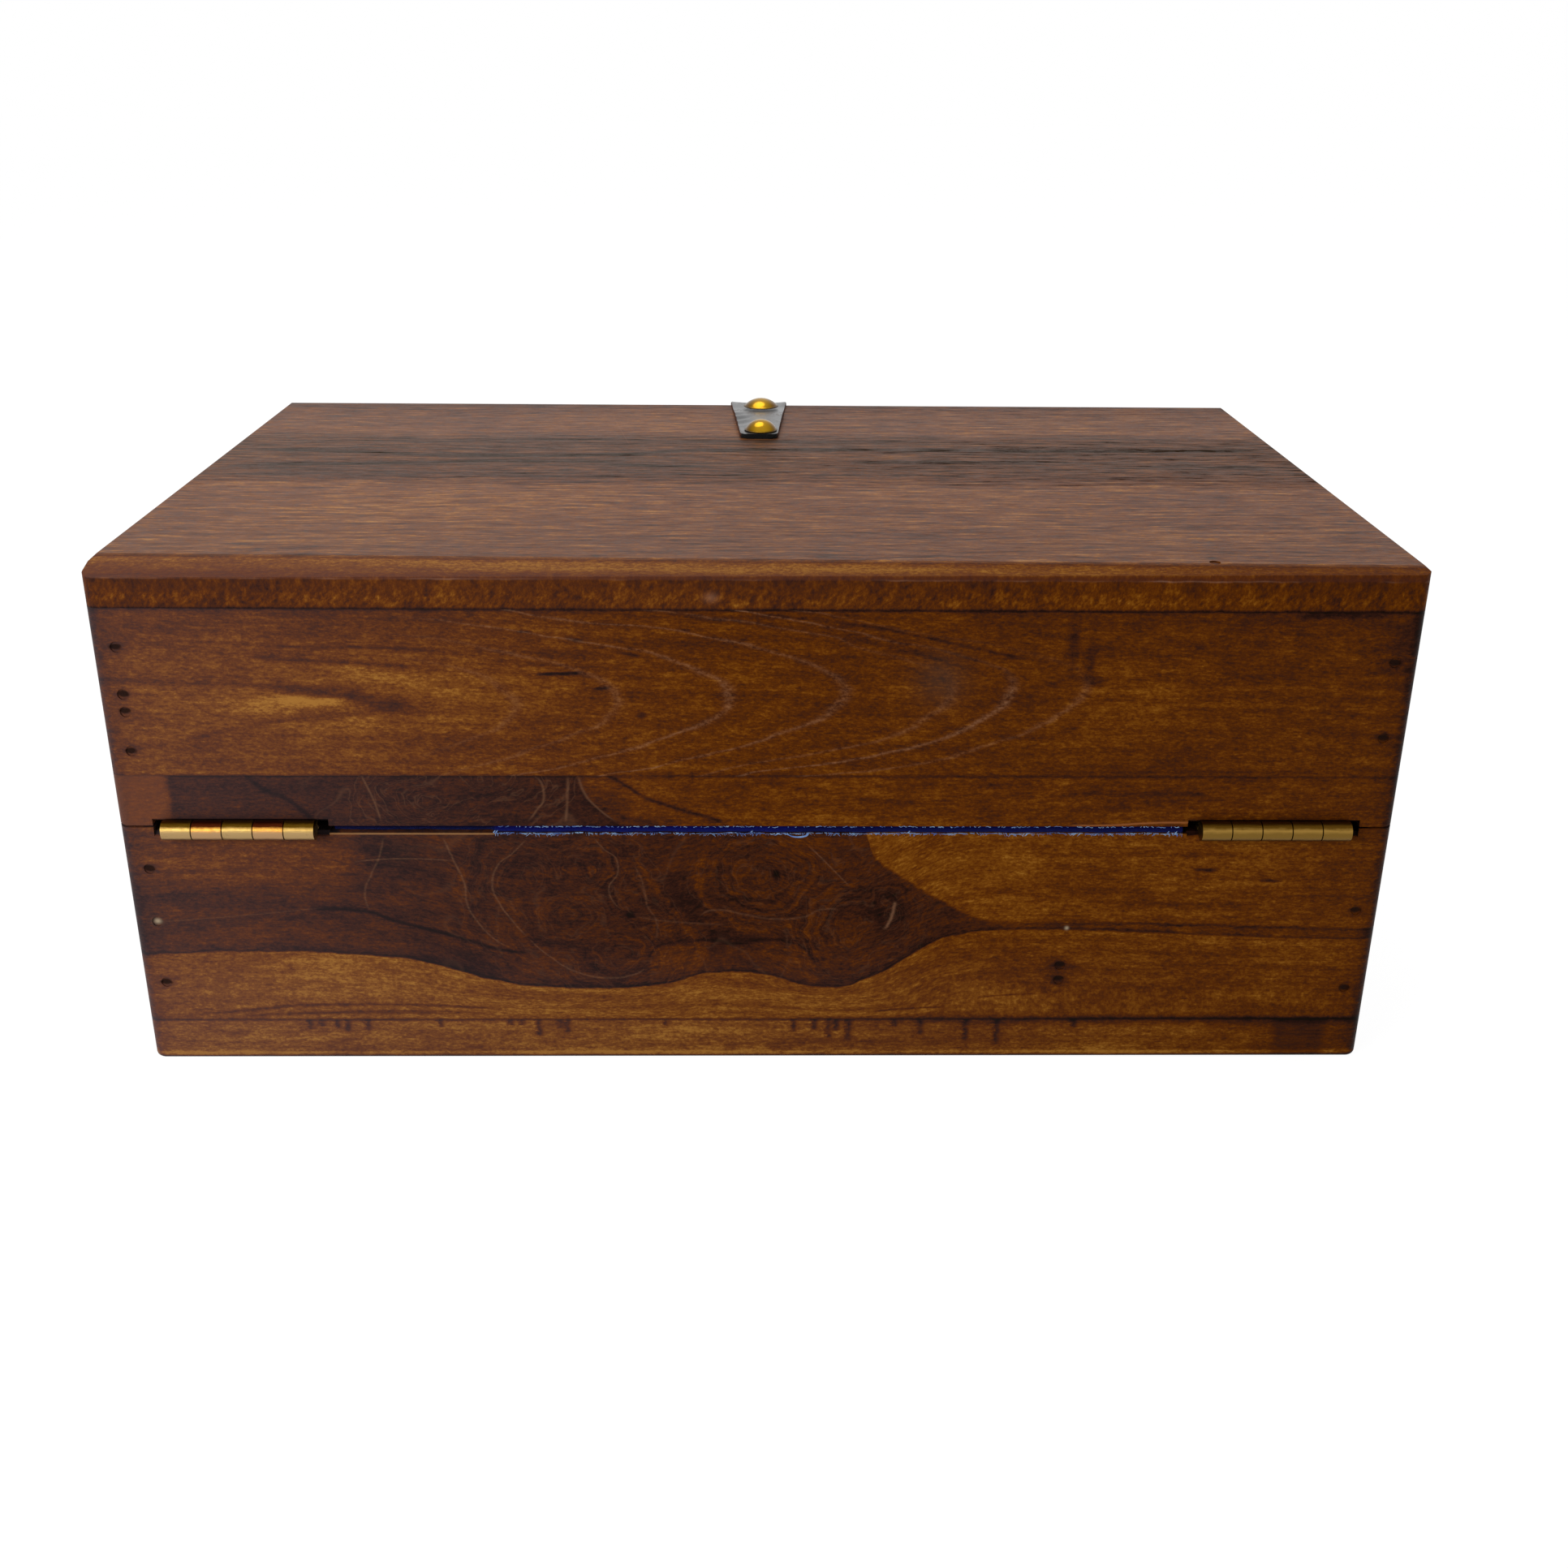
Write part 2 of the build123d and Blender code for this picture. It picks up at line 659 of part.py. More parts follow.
# Hinges: the lid leaf has the first, third and fifth knuckles, the base leaf the other two
knuckle = (hinge_length - (knuckle_count - 1) * knuckle_gap) / knuckle_count
knuckle_middles = [
    (place - (knuckle_count - 1) / 2) * (knuckle + knuckle_gap) for place in range(knuckle_count)
]
leaves = (
    ("base", knuckle_middles[1::2], base_leaf_under, base_screw_seats),
    ("lid", knuckle_middles[0::2], lid_rim, lid_screw_seats),
)
for side, sign in sides:
    for half, middles, leaf_level, seats in leaves:
        with BuildPart() as hinge_leaf:
            with BuildSketch(rim_plane(leaf_level, sign * hinge_x)):
                with Locations((0, -(plate_start + leaf_width) / 2)):
                    Rectangle(hinge_length, leaf_width - plate_start)
                with Locations(*[(middle, -plate_start / 2) for middle in middles]):
                    Rectangle(knuckle, plate_start)
            extrude(amount=leaf_thickness)
            for middle in middles:
                with BuildSketch(Plane.YZ.offset(sign * hinge_x + middle)):
                    with Locations((axis_y, axis_z)):
                        Circle(barrel_radius)
                extrude(amount=knuckle / 2, both=True)
            with BuildSketch(Plane.YZ.offset(sign * hinge_x)):
                with Locations((axis_y, axis_z)):
                    Circle(pin_radius + pin_clearance)
            extrude(amount=hinge_length, both=True, mode=Mode.SUBTRACT)
            with Locations(*seats):
                CounterSinkHole(screw_radius, screw_head, depth=screw_length, counter_sink_angle=90)
        hinge_leaf.part.label = f"{half}_hinge_leaf_{side}"
        export_step(hinge_leaf.part, f"parts/{half}_hinge_leaf_{side}.step")
    with BuildPart() as hinge_pin:
        with BuildSketch(Plane.YZ.offset(sign * hinge_x)):
            with Locations((axis_y, axis_z)):
                Circle(pin_radius)
        extrude(amount=hinge_length / 2, both=True)
    hinge_pin.part.label = f"hinge_pin_{side}"
    export_step(hinge_pin.part, f"parts/hinge_pin_{side}.step")

# Countersunk screws of the hinges, with slotted heads
for half, seats in (("base", base_screw_seats), ("lid", lid_screw_seats)):
    with BuildPart() as hinge_screws:
        with Locations(*seats):
            Cylinder(screw_radius, screw_length, align=(Align.CENTER, Align.CENTER, Align.MAX))
            Cone(
                screw_radius,
                screw_head,
                screw_head - screw_radius,
                align=(Align.CENTER, Align.CENTER, Align.MAX),
            )
            Box(
                2 * screw_head,
                screw_slot,
                screw_slot,
                align=(Align.CENTER, Align.CENTER, Align.MAX),
                mode=Mode.SUBTRACT,
            )
    hinge_screws.part.label = f"{half}_hinge_screws"
    export_step(hinge_screws.part, f"parts/{half}_hinge_screws.step")

# Nails
with BuildPart() as base_nails:
    nails(base_back_seats + cross_seats + base_front_seats)
    nails(foot_back_seats + foot_front_seats + foot_side_seats["left"] + foot_side_seats["right"])
base_nails.part.label = "base_nails"
export_step(base_nails.part, "parts/base_nails.step")

with BuildPart() as lid_nails:
    nails(lid_back_seats + lid_front_seats + [top_seat])
lid_nails.part.label = "lid_nails"
export_step(lid_nails.part, "parts/lid_nails.step")

# Strap on the lid: flat on the top board, bent over its front bevel and down to where the tail moves
bend_y = -half_depth + front_bevel
bend_radius = bend_y - strap_y
strap_end_y = -half_depth + strap_lie
strap_middle_z = case_height + strap_thickness / 2
anchor_end_z = strap_pivot_z + strap_thickness / 2 + strap_joint_gap
with BuildPart() as strap_anchor:
    with BuildSketch(Plane.YZ):
        with BuildLine() as strap_path:
            Line((strap_end_y, strap_middle_z), (bend_y, strap_middle_z))
            JernArc((bend_y, strap_middle_z), (-1, 0), bend_radius, 90)
            Line((strap_y, strap_middle_z - bend_radius), (strap_y, anchor_end_z))
        trace(line_width=strap_thickness)
    extrude(amount=strap_width / 2, both=True)
    with BuildSketch(Plane.XY.offset(anchor_end_z)) as strap_outline:
        with BuildLine():
            Polyline(
                (-strap_end_width / 2, strap_end_y),
                (strap_end_width / 2, strap_end_y),
                (strap_width / 2, -half_depth),
                (strap_width / 2, -half_depth - 2 * bend_radius),
                (-strap_width / 2, -half_depth - 2 * bend_radius),
                (-strap_width / 2, -half_depth),
                close=True,
            )
        make_face()
        fillet(strap_outline.vertices().group_by(Axis.Y)[-1], strap_end_radius)
    extrude(amount=case_height, mode=Mode.INTERSECT)
    with Locations(*tack_seats):
        Hole(tack_pin_radius, depth=tack_pin_length)
strap_anchor.part.label = "strap_anchor"
export_step(strap_anchor.part, "parts/strap_anchor.step")

# Tail of the strap, unbuttoned and leaning out from the front, with its slit buttonhole
lean = math.radians(strap_lean)
tail_plane = Plane(
    origin=(0, strap_y, strap_pivot_z),
    x_dir=(1, 0, 0),
    z_dir=(0, -math.cos(lean), math.sin(lean)),
)
with BuildPart() as strap_tail_piece:
    with BuildSketch(tail_plane) as tail_outline:
        with BuildLine():
            Polyline(
                (-strap_width / 2, 0),
                (strap_width / 2, 0),
                (strap_tip_width / 2, -strap_tail),
                (-strap_tip_width / 2, -strap_tail),
                close=True,
            )
        make_face()
        fillet(tail_outline.vertices().group_by(Axis.Z)[0], strap_tip_radius)
        with Locations((0, -stud_drop)):
            Circle(buttonhole_radius, mode=Mode.SUBTRACT)
        with Locations((0, -stud_drop - buttonhole_slit)):
            Rectangle(slit_width, buttonhole_slit, mode=Mode.SUBTRACT)
    extrude(amount=strap_thickness / 2, both=True)
    with BuildSketch(Plane.YZ):
        with Locations((strap_y, strap_pivot_z)):
            Circle(strap_thickness / 2)
    extrude(amount=strap_width / 2, both=True)
strap_tail_piece.part.label = "strap_tail"
export_step(strap_tail_piece.part, "parts/strap_tail.step")

# Domed tacks through the strap into the top board
with BuildPart() as strap_tacks:
    for seat, radius, height in zip(tack_seats, tack_radii, tack_heights):
        dome_radius = (radius**2 + height**2) / (2 * height)
        edge_angle = math.degrees(math.atan2(dome_radius - height, radius))
        seat_z = seat.position.Z
        with BuildSketch(Plane.XZ.offset(-seat.position.Y)):
            with BuildLine():
                Line((0, seat_z), (radius, seat_z))
                CenterArc((0, seat_z + height - dome_radius), dome_radius, edge_angle, 90 - edge_angle)
                Line((0, seat_z + height), (0, seat_z))
            make_face()
        revolve(axis=Axis(seat.position, (0, 0, 1)))
    with Locations(*tack_seats):
        Cylinder(tack_pin_radius, tack_pin_length, align=(Align.CENTER, Align.CENTER, Align.MAX))
strap_tacks.part.label = "strap_tacks"
export_step(strap_tacks.part, "parts/strap_tacks.step")

# Ball stud on the front of the base
with BuildPart() as strap_stud:
    with Locations(Location(stud_plane)):
        Cylinder(stud_flange_radius, stud_flange, align=(Align.CENTER, Align.CENTER, Align.MIN))
        Cylinder(stud_neck_radius, stud_ball_out, align=(Align.CENTER, Align.CENTER, Align.MIN))
        Cylinder(stud_screw_radius, stud_screw_length, align=(Align.CENTER, Align.CENTER, Align.MAX))
    with Locations((0, -half_depth - stud_ball_out, stud_z)):
        Sphere(stud_ball_radius)
strap_stud.part.label = "strap_stud"
export_step(strap_stud.part, "parts/strap_stud.step")
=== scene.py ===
import json
import math
import random

import bpy
from mathutils import Matrix, Vector


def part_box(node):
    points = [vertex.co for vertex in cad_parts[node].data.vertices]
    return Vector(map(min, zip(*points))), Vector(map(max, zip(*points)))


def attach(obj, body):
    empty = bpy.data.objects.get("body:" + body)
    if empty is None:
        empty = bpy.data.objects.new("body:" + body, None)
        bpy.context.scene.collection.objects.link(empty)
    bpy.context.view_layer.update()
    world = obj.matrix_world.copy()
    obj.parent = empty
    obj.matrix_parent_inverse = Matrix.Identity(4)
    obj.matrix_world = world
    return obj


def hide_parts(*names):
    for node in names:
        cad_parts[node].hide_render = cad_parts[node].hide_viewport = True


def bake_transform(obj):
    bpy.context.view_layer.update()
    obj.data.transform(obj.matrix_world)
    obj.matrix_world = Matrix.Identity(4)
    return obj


# Looks of the writing box: wood, brass, cloth and leather, seen from behind and above as in the photograph
# +X is on the left of the picture, +Y points at the camera and +Z is up
# Sizes are in millimetres in the shared frame, and MM turns them into metres
MM = 0.001

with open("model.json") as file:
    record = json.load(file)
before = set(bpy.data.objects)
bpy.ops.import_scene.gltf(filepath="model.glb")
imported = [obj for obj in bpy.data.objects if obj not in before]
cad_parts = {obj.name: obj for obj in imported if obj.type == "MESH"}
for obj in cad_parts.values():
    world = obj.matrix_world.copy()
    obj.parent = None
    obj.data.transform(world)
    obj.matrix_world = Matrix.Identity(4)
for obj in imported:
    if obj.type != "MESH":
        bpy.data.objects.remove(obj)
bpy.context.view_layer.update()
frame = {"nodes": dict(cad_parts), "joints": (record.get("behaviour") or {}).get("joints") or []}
nodes = frame["nodes"]
joints = {joint["name"]: joint for joint in frame["joints"]}


def box_mm(node):
    """Lowest and highest corner of a CAD node, in millimetres."""
    return [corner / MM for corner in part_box(node)]


# Places read from the frame
half_width, half_depth, bottom_joint = box_mm("base_bottom_board")[1]
case_height = box_mm("lid_top_board")[1].z
strip_joint = box_mm("lid_back_board")[0].z
top_joint = box_mm("lid_back_board")[1].z
hinge_axis = Vector(joints["lid_open"]["pos_m"]) / MM
strap_pivot = Vector(joints["strap_lift"]["pos_m"]) / MM

# The saw cut and the cloth over it
SLOPE = math.radians(7.5)
CLOTH = 0.9
BASE_CLOTH_LEVEL = -1.35
LID_CLOTH_LEVEL = -0.15
CLOTH_RAIL_START = 12.1
CLOTH_RAIL_END = 23.7
CLOTH_HALF = box_mm("base_rim_cloth")[1].x
FOLD_HALF = 107.5
FOLD_ALONG = 1.55
FOLD_RADIUS = 0.6
FOLD_STEPS = 8
FOLD_INNER_SHARE = 0.55
RAIL_STEPS = 12
FOLD_SHORT_FROM = 67.0
FOLD_SHORT_BY = 1.0

# Cloth on the flaps, by its distances along the slope from the hinge axis, and its finger notches
FLAP_CLOTH_START = 24.1
BASE_FLAP_CLOTH_END = 134.9
LID_FLAP_CLOTH_END = 196.2
NOTCH_RADIUS = 9.0

# Frayed threads along the fold, and the loop of thicker thread on the base
THREAD_RADII = (0.07, 0.13)
TUFT_PLACES = (FOLD_SHORT_FROM, FOLD_SHORT_FROM - 0.6, 2.0, -38.0, -104.0, -106.0)
TUFT_RADIUS = 0.16
LOOP_X = -9.5
LOOP_HALF_WIDTH = 2.6
LOOP_DROP = 1.1
LOOP_RADIUS = 0.34

# Strap
STRAP_THICK = 1.6
STRAP_THIN = 0.8
STRAP_END_Y = -44.0
STRAP_WIDTH = 19.2
STRAP_END_WIDTH = 11.8
STRAP_END_RADIUS = 2.6
STRAP_BEND_RADIUS = 4.4
STRAP_LEAN = math.radians(12.0)
STRAP_TIP_WIDTH = 15.0
STRAP_TIP_RADIUS = 5.0
STRAP_TIP = 18.0
BUTTONHOLE_RADIUS = 4.6
BUTTONHOLE_SLIT = 8.0
SLIT_WIDTH = 0.8
EAR_RISE = 0.5
PUCKER_RISE = 0.4
EDGE_CURL = 0.2
TAIL_BULGE = 0.325
THINNED_FROM = 30.0
THINNED_OVER = 18.0
stud_z = sum(corner.z for corner in box_mm("strap_stud")) / 2
bend_y = strap_pivot.y + STRAP_BEND_RADIUS
middle_z = case_height + STRAP_THICK / 2

# Distances along the strap: to the bend, round it, to the pivot, to the buttonhole and to the tip
to_bend = STRAP_END_Y - bend_y
round_bend = to_bend + STRAP_BEND_RADIUS * math.pi / 2
to_pivot = round_bend + (middle_z - STRAP_BEND_RADIUS) - strap_pivot.z
to_hole = to_pivot + strap_pivot.z - stud_z
strap_length = to_hole + STRAP_TIP

# Domed tacks: places along X and Y, radius, and height above the strap
TACKS = ((-0.6, -49.6, 5.3, 3.5), (-0.8, -88.6, 5.9, 2.9))

# Camera fitted to the photograph
CAMERA_PLACE = (2.05, 496.1, 249.54)
CAMERA_YAW = -1.161
CAMERA_PITCH = 23.256
CAMERA_ROLL = 0.543
CAMERA_LENS = 39.32
SENSOR = 36.0

# Lights, each by its place, size and power in metres and watts, and the point that they are turned to
LIGHTS = {"key": ((0.75, 0.8, 0.5), 0.6, 6.5), "overhead": ((0.2, -0.3, 1.4), 1.0, 7.5)}
LIT_POINT = (0, 0.05, 0.07)

# Strength of the white surroundings: their light on the box, and as the camera and the brass see them
SKY_ON_BOX = 0.24
SKY_SEEN = 1.0

# White floor
FLOOR_LEVEL = -0.2
FLOOR_REACH = 6000.0
FLOOR_GLOW = 1.13
FLOOR_GLOW_SHARE = 0.85

# Screen colours of the wood from its darkest stains to the golden flame, of the painted sheen on it, of its
# pale lines and of its raw edge
WOOD_TONES = (
    (0.00, (12, 6, 4)),
    (0.20, (38, 17, 12)),
    (0.36, (61, 30, 17)),
    (0.50, (82, 39, 9)),
    (0.64, (102, 51, 6)),
    (0.80, (130, 75, 14)),
    (1.00, (172, 116, 40)),
)
# Painted sheen: a pale haze laid over the wood where it would reflect the light
PAINTED_SHEEN = (158, 140, 150)
PALE_LINE = (126, 88, 64)
RAW_WOOD = (178, 130, 84)

# Nails of the back: sizes of a head and of the stain round it, and how far one head reaches
NAIL_HEAD = (1.7, 0.95)
NAIL_STAIN = (2.3, 1.5)
NAIL_REACH = 3.5
# The place of the one nail that a pale chip hides
PALE_CHIP = (155.2, 41.3)


def linear(red, green, blue):
    """Linear colour with alpha from screen values between 0 and 255."""
    def part(value):
        share = value / 255
        return share / 12.92 if share <= 0.04045 else ((share + 0.055) / 1.055) ** 2.4
    return (part(red), part(green), part(blue), 1.0)


class Field:
    """A value at each point of a surface, worked out by shader nodes."""

    def __init__(self, shader, socket):
        self.shader = shader
        self.socket = socket

    def __add__(self, other):
        return self.shader.math("ADD", self, other)

    def __sub__(self, other):
        return self.shader.math("SUBTRACT", self, other)

    def __rsub__(self, other):
        return self.shader.math("SUBTRACT", other, self)

    def __mul__(self, other):
        return self.shader.math("MULTIPLY", self, other)

    def __truediv__(self, other):
        return self.shader.math("DIVIDE", self, other)

    def __neg__(self):
        return self.shader.math("MULTIPLY", self, -1.0)

    __radd__ = __add__
    __rmul__ = __mul__


class Shader:
    """A material under construction, with the surface's coordinates in millimetres."""

    def __init__(self, name):
        self.material = bpy.data.materials.new(name)
        self.material.use_nodes = True
        self.tree = self.material.node_tree
        self.surface = self.tree.nodes["Principled BSDF"]
        split = self.node("ShaderNodeSeparateXYZ")
        self.tree.links.new(self.node("ShaderNodeTexCoord").outputs["Object"], split.inputs[0])
        self.x, self.y, self.z = [Field(self, socket) * (1 / MM) for socket in split.outputs]

    def node(self, kind, **settings):
        made = self.tree.nodes.new(kind)
        for name, value in settings.items():
            setattr(made, name, value)
        return made

    def feed(self, socket, value):
        if isinstance(value, Field):
            self.tree.links.new(value.socket, socket)
        else:
            socket.default_value = value

    def math(self, operation, *values):
        node = self.node("ShaderNodeMath", operation=operation)
        for socket, value in zip(node.inputs, values):
            self.feed(socket, value)
        return Field(self, node.outputs[0])

    def ramp(self, value, stops):
        """Colour at a value, from stops (place, screen colour)."""
        node = self.node("ShaderNodeValToRGB")
        self.feed(node.inputs[0], value)
        marks = node.color_ramp.elements
        while len(marks) < len(stops):
            marks.new(0.5)
        for mark, (place, colour) in zip(marks, stops):
            mark.position = place
            mark.color = linear(*colour)
        return Field(self, node.outputs[0])

    def mix(self, amount, first, second):
        """Blend of two colours, each a field or a screen colour."""
        node = self.node("ShaderNodeMix", data_type="RGBA")
        self.feed(node.inputs[0], amount)
        for socket, colour in ((node.inputs[6], first), (node.inputs[7], second)):
            self.feed(socket, colour if isinstance(colour, Field) else linear(*colour))
        return Field(self, node.outputs[2])

    def set(self, **values):
        """Sets the shader's own sockets; an underscore in a name stands for a space."""
        for name, value in values.items():
            self.feed(self.surface.inputs[name.replace("_", " ")], value)

    def relief(self, height):
        """Bumps of this height in millimetres."""
        node = self.node("ShaderNodeBump")
        node.inputs["Distance"].default_value = MM
        self.feed(node.inputs["Height"], height)
        self.tree.links.new(node.outputs[0], self.surface.inputs["Normal"])


def smooth(value, low, high):
    """0 at low and 1 at high, with soft ends; low may be above high."""
    node = value.shader.node("ShaderNodeMapRange", interpolation_type="SMOOTHSTEP")
    for name, number in (("Value", value), ("From Min", low), ("From Max", high)):
        value.shader.feed(node.inputs[name], number)
    return Field(value.shader, node.outputs[0])


def within(value, low, high, soft):
    """1 between low and high, with soft ends."""
    return smooth(value, low - soft, low + soft) * smooth(value, high + soft, high - soft)


def bell(squares):
    """1 where the sum of squares is zero, falling away round it."""
    return squares.shader.math("EXPONENT", -squares)


def ridge(distance, width):
    """1 where the distance is zero, falling away on both sides."""
    share = distance / width
    return bell(share * share)


def spot(u, v, centre, size):
    """A soft round or oval spot."""
    across = (u - centre[0]) / size[0]
    up = (v - centre[1]) / size[1]
    return bell(across * across + up * up)


def noise(u, v, w, detail=2.0, rough=0.5):
    """Noise around zero, mostly within -1 and 1, with cells one unit across."""
    shader = u.shader
    point = shader.node("ShaderNodeCombineXYZ")
    for socket, part in zip(point.inputs, (u, v, w)):
        shader.feed(socket, part)
    node = shader.node("ShaderNodeTexNoise")
    shader.tree.links.new(point.outputs[0], node.inputs["Vector"])
    for name, number in (("Scale", 1.0), ("Detail", detail), ("Roughness", rough)):
        node.inputs[name].default_value = number
    return Field(shader, node.outputs["Fac"]) * 3.2 - 1.6


def curve(value, *points):
    """Height of a smooth line through the points (place, height)."""
    places = sorted(points)
    low, high = places[0][0], places[-1][0]
    heights = [height for place, height in places]
    bottom, top = min(heights), max(heights)
    node = value.shader.node("ShaderNodeFloatCurve")
    value.shader.feed(node.inputs["Value"], (value - low) / (high - low))
    marks = node.mapping.curves[0].points
    for place, height in places[1:-1]:
        marks.new((place - low) / (high - low), (height - bottom) / (top - bottom))
    marks[0].location = (0, (heights[0] - bottom) / (top - bottom))
    marks[-1].location = (1, (heights[-1] - bottom) / (top - bottom))
    node.mapping.update()
    return Field(value.shader, node.outputs[0]) * (top - bottom) + bottom


def line(along, across, points, width, soft=4.0):
    """A line through the points (along, across), fading out at its ends."""
    places = sorted(points)
    inside = within(along, places[0][0] + soft, places[-1][0] - soft, soft)
    return ridge(across - curve(along, *places), width) * inside


def total(fields):
    """Sum of several fields."""
    first, *others = fields
    for field in others:
        first = first + field
    return first


def nail_places(name):
    """Centres (x, z) of the nail heads in the back, read from the node of the nails."""
    heads = [vertex.co for vertex in nodes[name].data.vertices if vertex.co.y / MM > half_depth - 0.5]
    places = []
    while heads:
        first = heads[0]
        rim = [corner for corner in heads if (corner - first).length / MM < NAIL_REACH]
        heads = [corner for corner in heads if (corner - first).length / MM >= NAIL_REACH]
        places.append([sum(corner[axis] for corner in rim) / len(rim) / MM for axis in (0, 2)])
    return sorted(places)


def nail_marks(shader, grain, name):
    """Stains round the nails of the back, and the dark uneven heads in them."""
    x = shader.x + grain.mottle * 0.7 + grain.clouds * 0.3
    z = shader.z + grain.mottle * 0.4
    places = [place for place in nail_places(name) if math.dist(place, PALE_CHIP) > NAIL_REACH]
    stain = total([spot(x, z, place, NAIL_STAIN) for place in places])
    head = total([spot(x, z, place, NAIL_HEAD) for place in places])
    return stain * 0.2, (smooth(head + grain.speckle * 0.12, 0.3, 0.75) * 0.85, (20, 11, 9))


class Grain:
    """The figure of one board: along the grain, across it on the face, and into the board."""

    def __init__(self, shader, along, across, depth):
        self.streaks = noise(along / 42, across / 1.9, depth / 14, detail=5.0, rough=0.62)
        self.fibres = noise(along / 5, across / 0.35, depth / 2, detail=1.0)
        self.mottle = noise(along / 5.5, across / 2.4, depth / 5, detail=4.0, rough=0.62)
        self.clouds = noise(along / 26, across / 12, depth / 20, detail=2.0)
        self.speckle = noise(along / 1.1, across / 0.7, depth / 0.9, detail=2.0, rough=0.75)
        self.flecks = noise(along / 2.2, across / 0.6, depth / 1.5, detail=3.0, rough=0.75)
        self.pores = smooth(noise(along / 3.0, across / 0.3, depth + 7.0, detail=1.0), 0.45, 0.95)
        self.texture = self.streaks * 0.14 + self.mottle * 0.15 + self.clouds * 0.07


def finish_wood(shader, grain, value, tints=(), gloss=0.05, rough=0.46, shine=(255, 205, 170)):
    """Colours a board by its tone, lays tints (share, screen colour) over it, and adds gloss and relief."""
    value = value + grain.speckle * 0.18 + grain.flecks * 0.16 - grain.pores * 0.13
    colour = shader.ramp(value, WOOD_TONES)
    for share, tint in tints:
        colour = shader.mix(share, colour, tint)
    shader.set(
        Base_Color=colour,
        Roughness=rough + grain.speckle * 0.08 + grain.mottle * 0.05,
        Specular_IOR_Level=gloss,
        Specular_Tint=linear(*shine),
    )
    shader.relief(grain.fibres * 0.015 + grain.speckle * 0.015 + grain.mottle * 0.03 - grain.pores * 0.04)
    return shader.material


def plain_wood(name, along, across, depth, middle, contrast=1.0, **finish):
    """A board with straight grain and nothing special on it."""
    shader = Shader(name)
    axes = {"x": shader.x, "y": shader.y, "z": shader.z}
    grain = Grain(shader, axes[along], axes[across], axes[depth])
    return finish_wood(shader, grain, middle + grain.texture * contrast, **finish)


def strokes(shader, along, across, table):
    """Drawn lines, each given as (points, width, depth, softness of its ends)."""
    return total([
        line(along, across, points, width, soft) * depth for points, width, depth, soft in table
    ])


def spots(shader, table):
    """Drawn spots on the back, each given as (centre, size, depth)."""
    return total([spot(shader.x, shader.z, centre, size) * depth for centre, size, depth in table])


def painted_sheen_share(shader, low_edge=0.0):
    """Share of the painted sheen, a pale haze on the back: stronger at its left end in the picture and near
    its lower edge.
    """
    left = smooth(shader.x, 0.0, 180.0) * 0.075
    if low_edge:
        left = left + smooth(shader.z, 40.0, 18.0) * smooth(shader.x, -160.0, 60.0) * low_edge
    return left


def end_band_and_corner_shade(shader, grain):
    """Darker ends of the back: a broad darker band, and painted shade on the rounded corners at both ends."""
    reach = shader.math("ABSOLUTE", shader.x) + grain.mottle * 3.0
    worn = smooth(reach, half_width - 9.0, half_width) * 0.12
    # The broad darker band, and the painted shade on the rounded corners
    return worn + smooth(reach, half_width - 3.4, half_width - 1.4) * 0.2


def hinge_recess_shade(shader):
    """Painted shade in the corners where the hinges are let in."""
    aside = shader.math("ABSOLUTE", shader.x)
    near_cut = within(shader.z, hinge_axis.z - 4.0, hinge_axis.z + 4.0, 0.5)
    return within(aside, 106.5, 155.0, 1.0) * near_cut * smooth(shader.y, half_depth - 0.2, half_depth - 0.6)


def joint_line(shader, level):
    """A dark line along a glued joint."""
    return ridge(shader.z - level, 0.38) * 0.34


# Base board: heartwood with knots above, sapwood below
HEART_LOWER = (
    (160, 31.4), (128, 32.6), (112, 32.1), (96, 30.9), (83, 28.2), (69.5, 24), (55, 21.9), (40, 21.5),
    (27, 22.4), (18, 24.8), (8.7, 26.4), (-1, 25.6), (-10.5, 22.7), (-18, 21.8), (-26.5, 23.9),
    (-37, 29.6), (-44, 34.4), (-52, 37.6), (-62, 38.8), (-78, 38.9), (-104, 37.8), (-130, 36.6),
    (-160, 36),
)
HEART_UPPER = (
    (-22, 84), (-25.4, 72), (-27.4, 65), (-29.6, 59.6), (-33, 56.6), (-38, 53.0), (-48, 46.8), (-56, 42.6),
    (-64, 41.2), (-80, 41.2), (-104, 41.0), (-130, 40.2), (-160, 39.2),
)
ISLAND_ARCH = (
    (29.6, 27), (28.4, 31.8), (26, 34.2), (21, 35.4), (12, 35.8), (5.5, 34.8), (-2, 36), (-8, 35.4),
    (-12.5, 32.4), (-15.4, 27),
)
# Knots of the base board: centre and size
KNOTS = (
    ((60, 54), (4.6, 4.2)),
    ((43, 57), (3.6, 3.4)),
    ((50, 43), (7.5, 6.0)),
    ((37, 32), (6.0, 5.2)),
    ((-1, 54.4), (5.0, 4.4)),
    ((-24, 40), (4.6, 5.6)),
    ((-34, 44), (3.2, 5.4)),
)
HEART_DARK = (
    (((118, 45), (101, 44.2), (95.6, 42), (85.4, 39), (75, 35.6), (66, 32.8), (58, 32)), 0.55, 0.34, 3.0),
    (((112, 38.2), (96, 37.4), (84, 34.6), (72, 29.4), (60, 26.4)), 1.6, 0.05, 5.0),
    (((-9, 58.4), (-20, 51.6), (-30, 49.6), (-38, 47)), 0.7, 0.08, 3.0),
    (((18, 46), (4, 47.6), (-10, 47.2), (-20, 50)), 0.8, 0.06, 4.0),
)
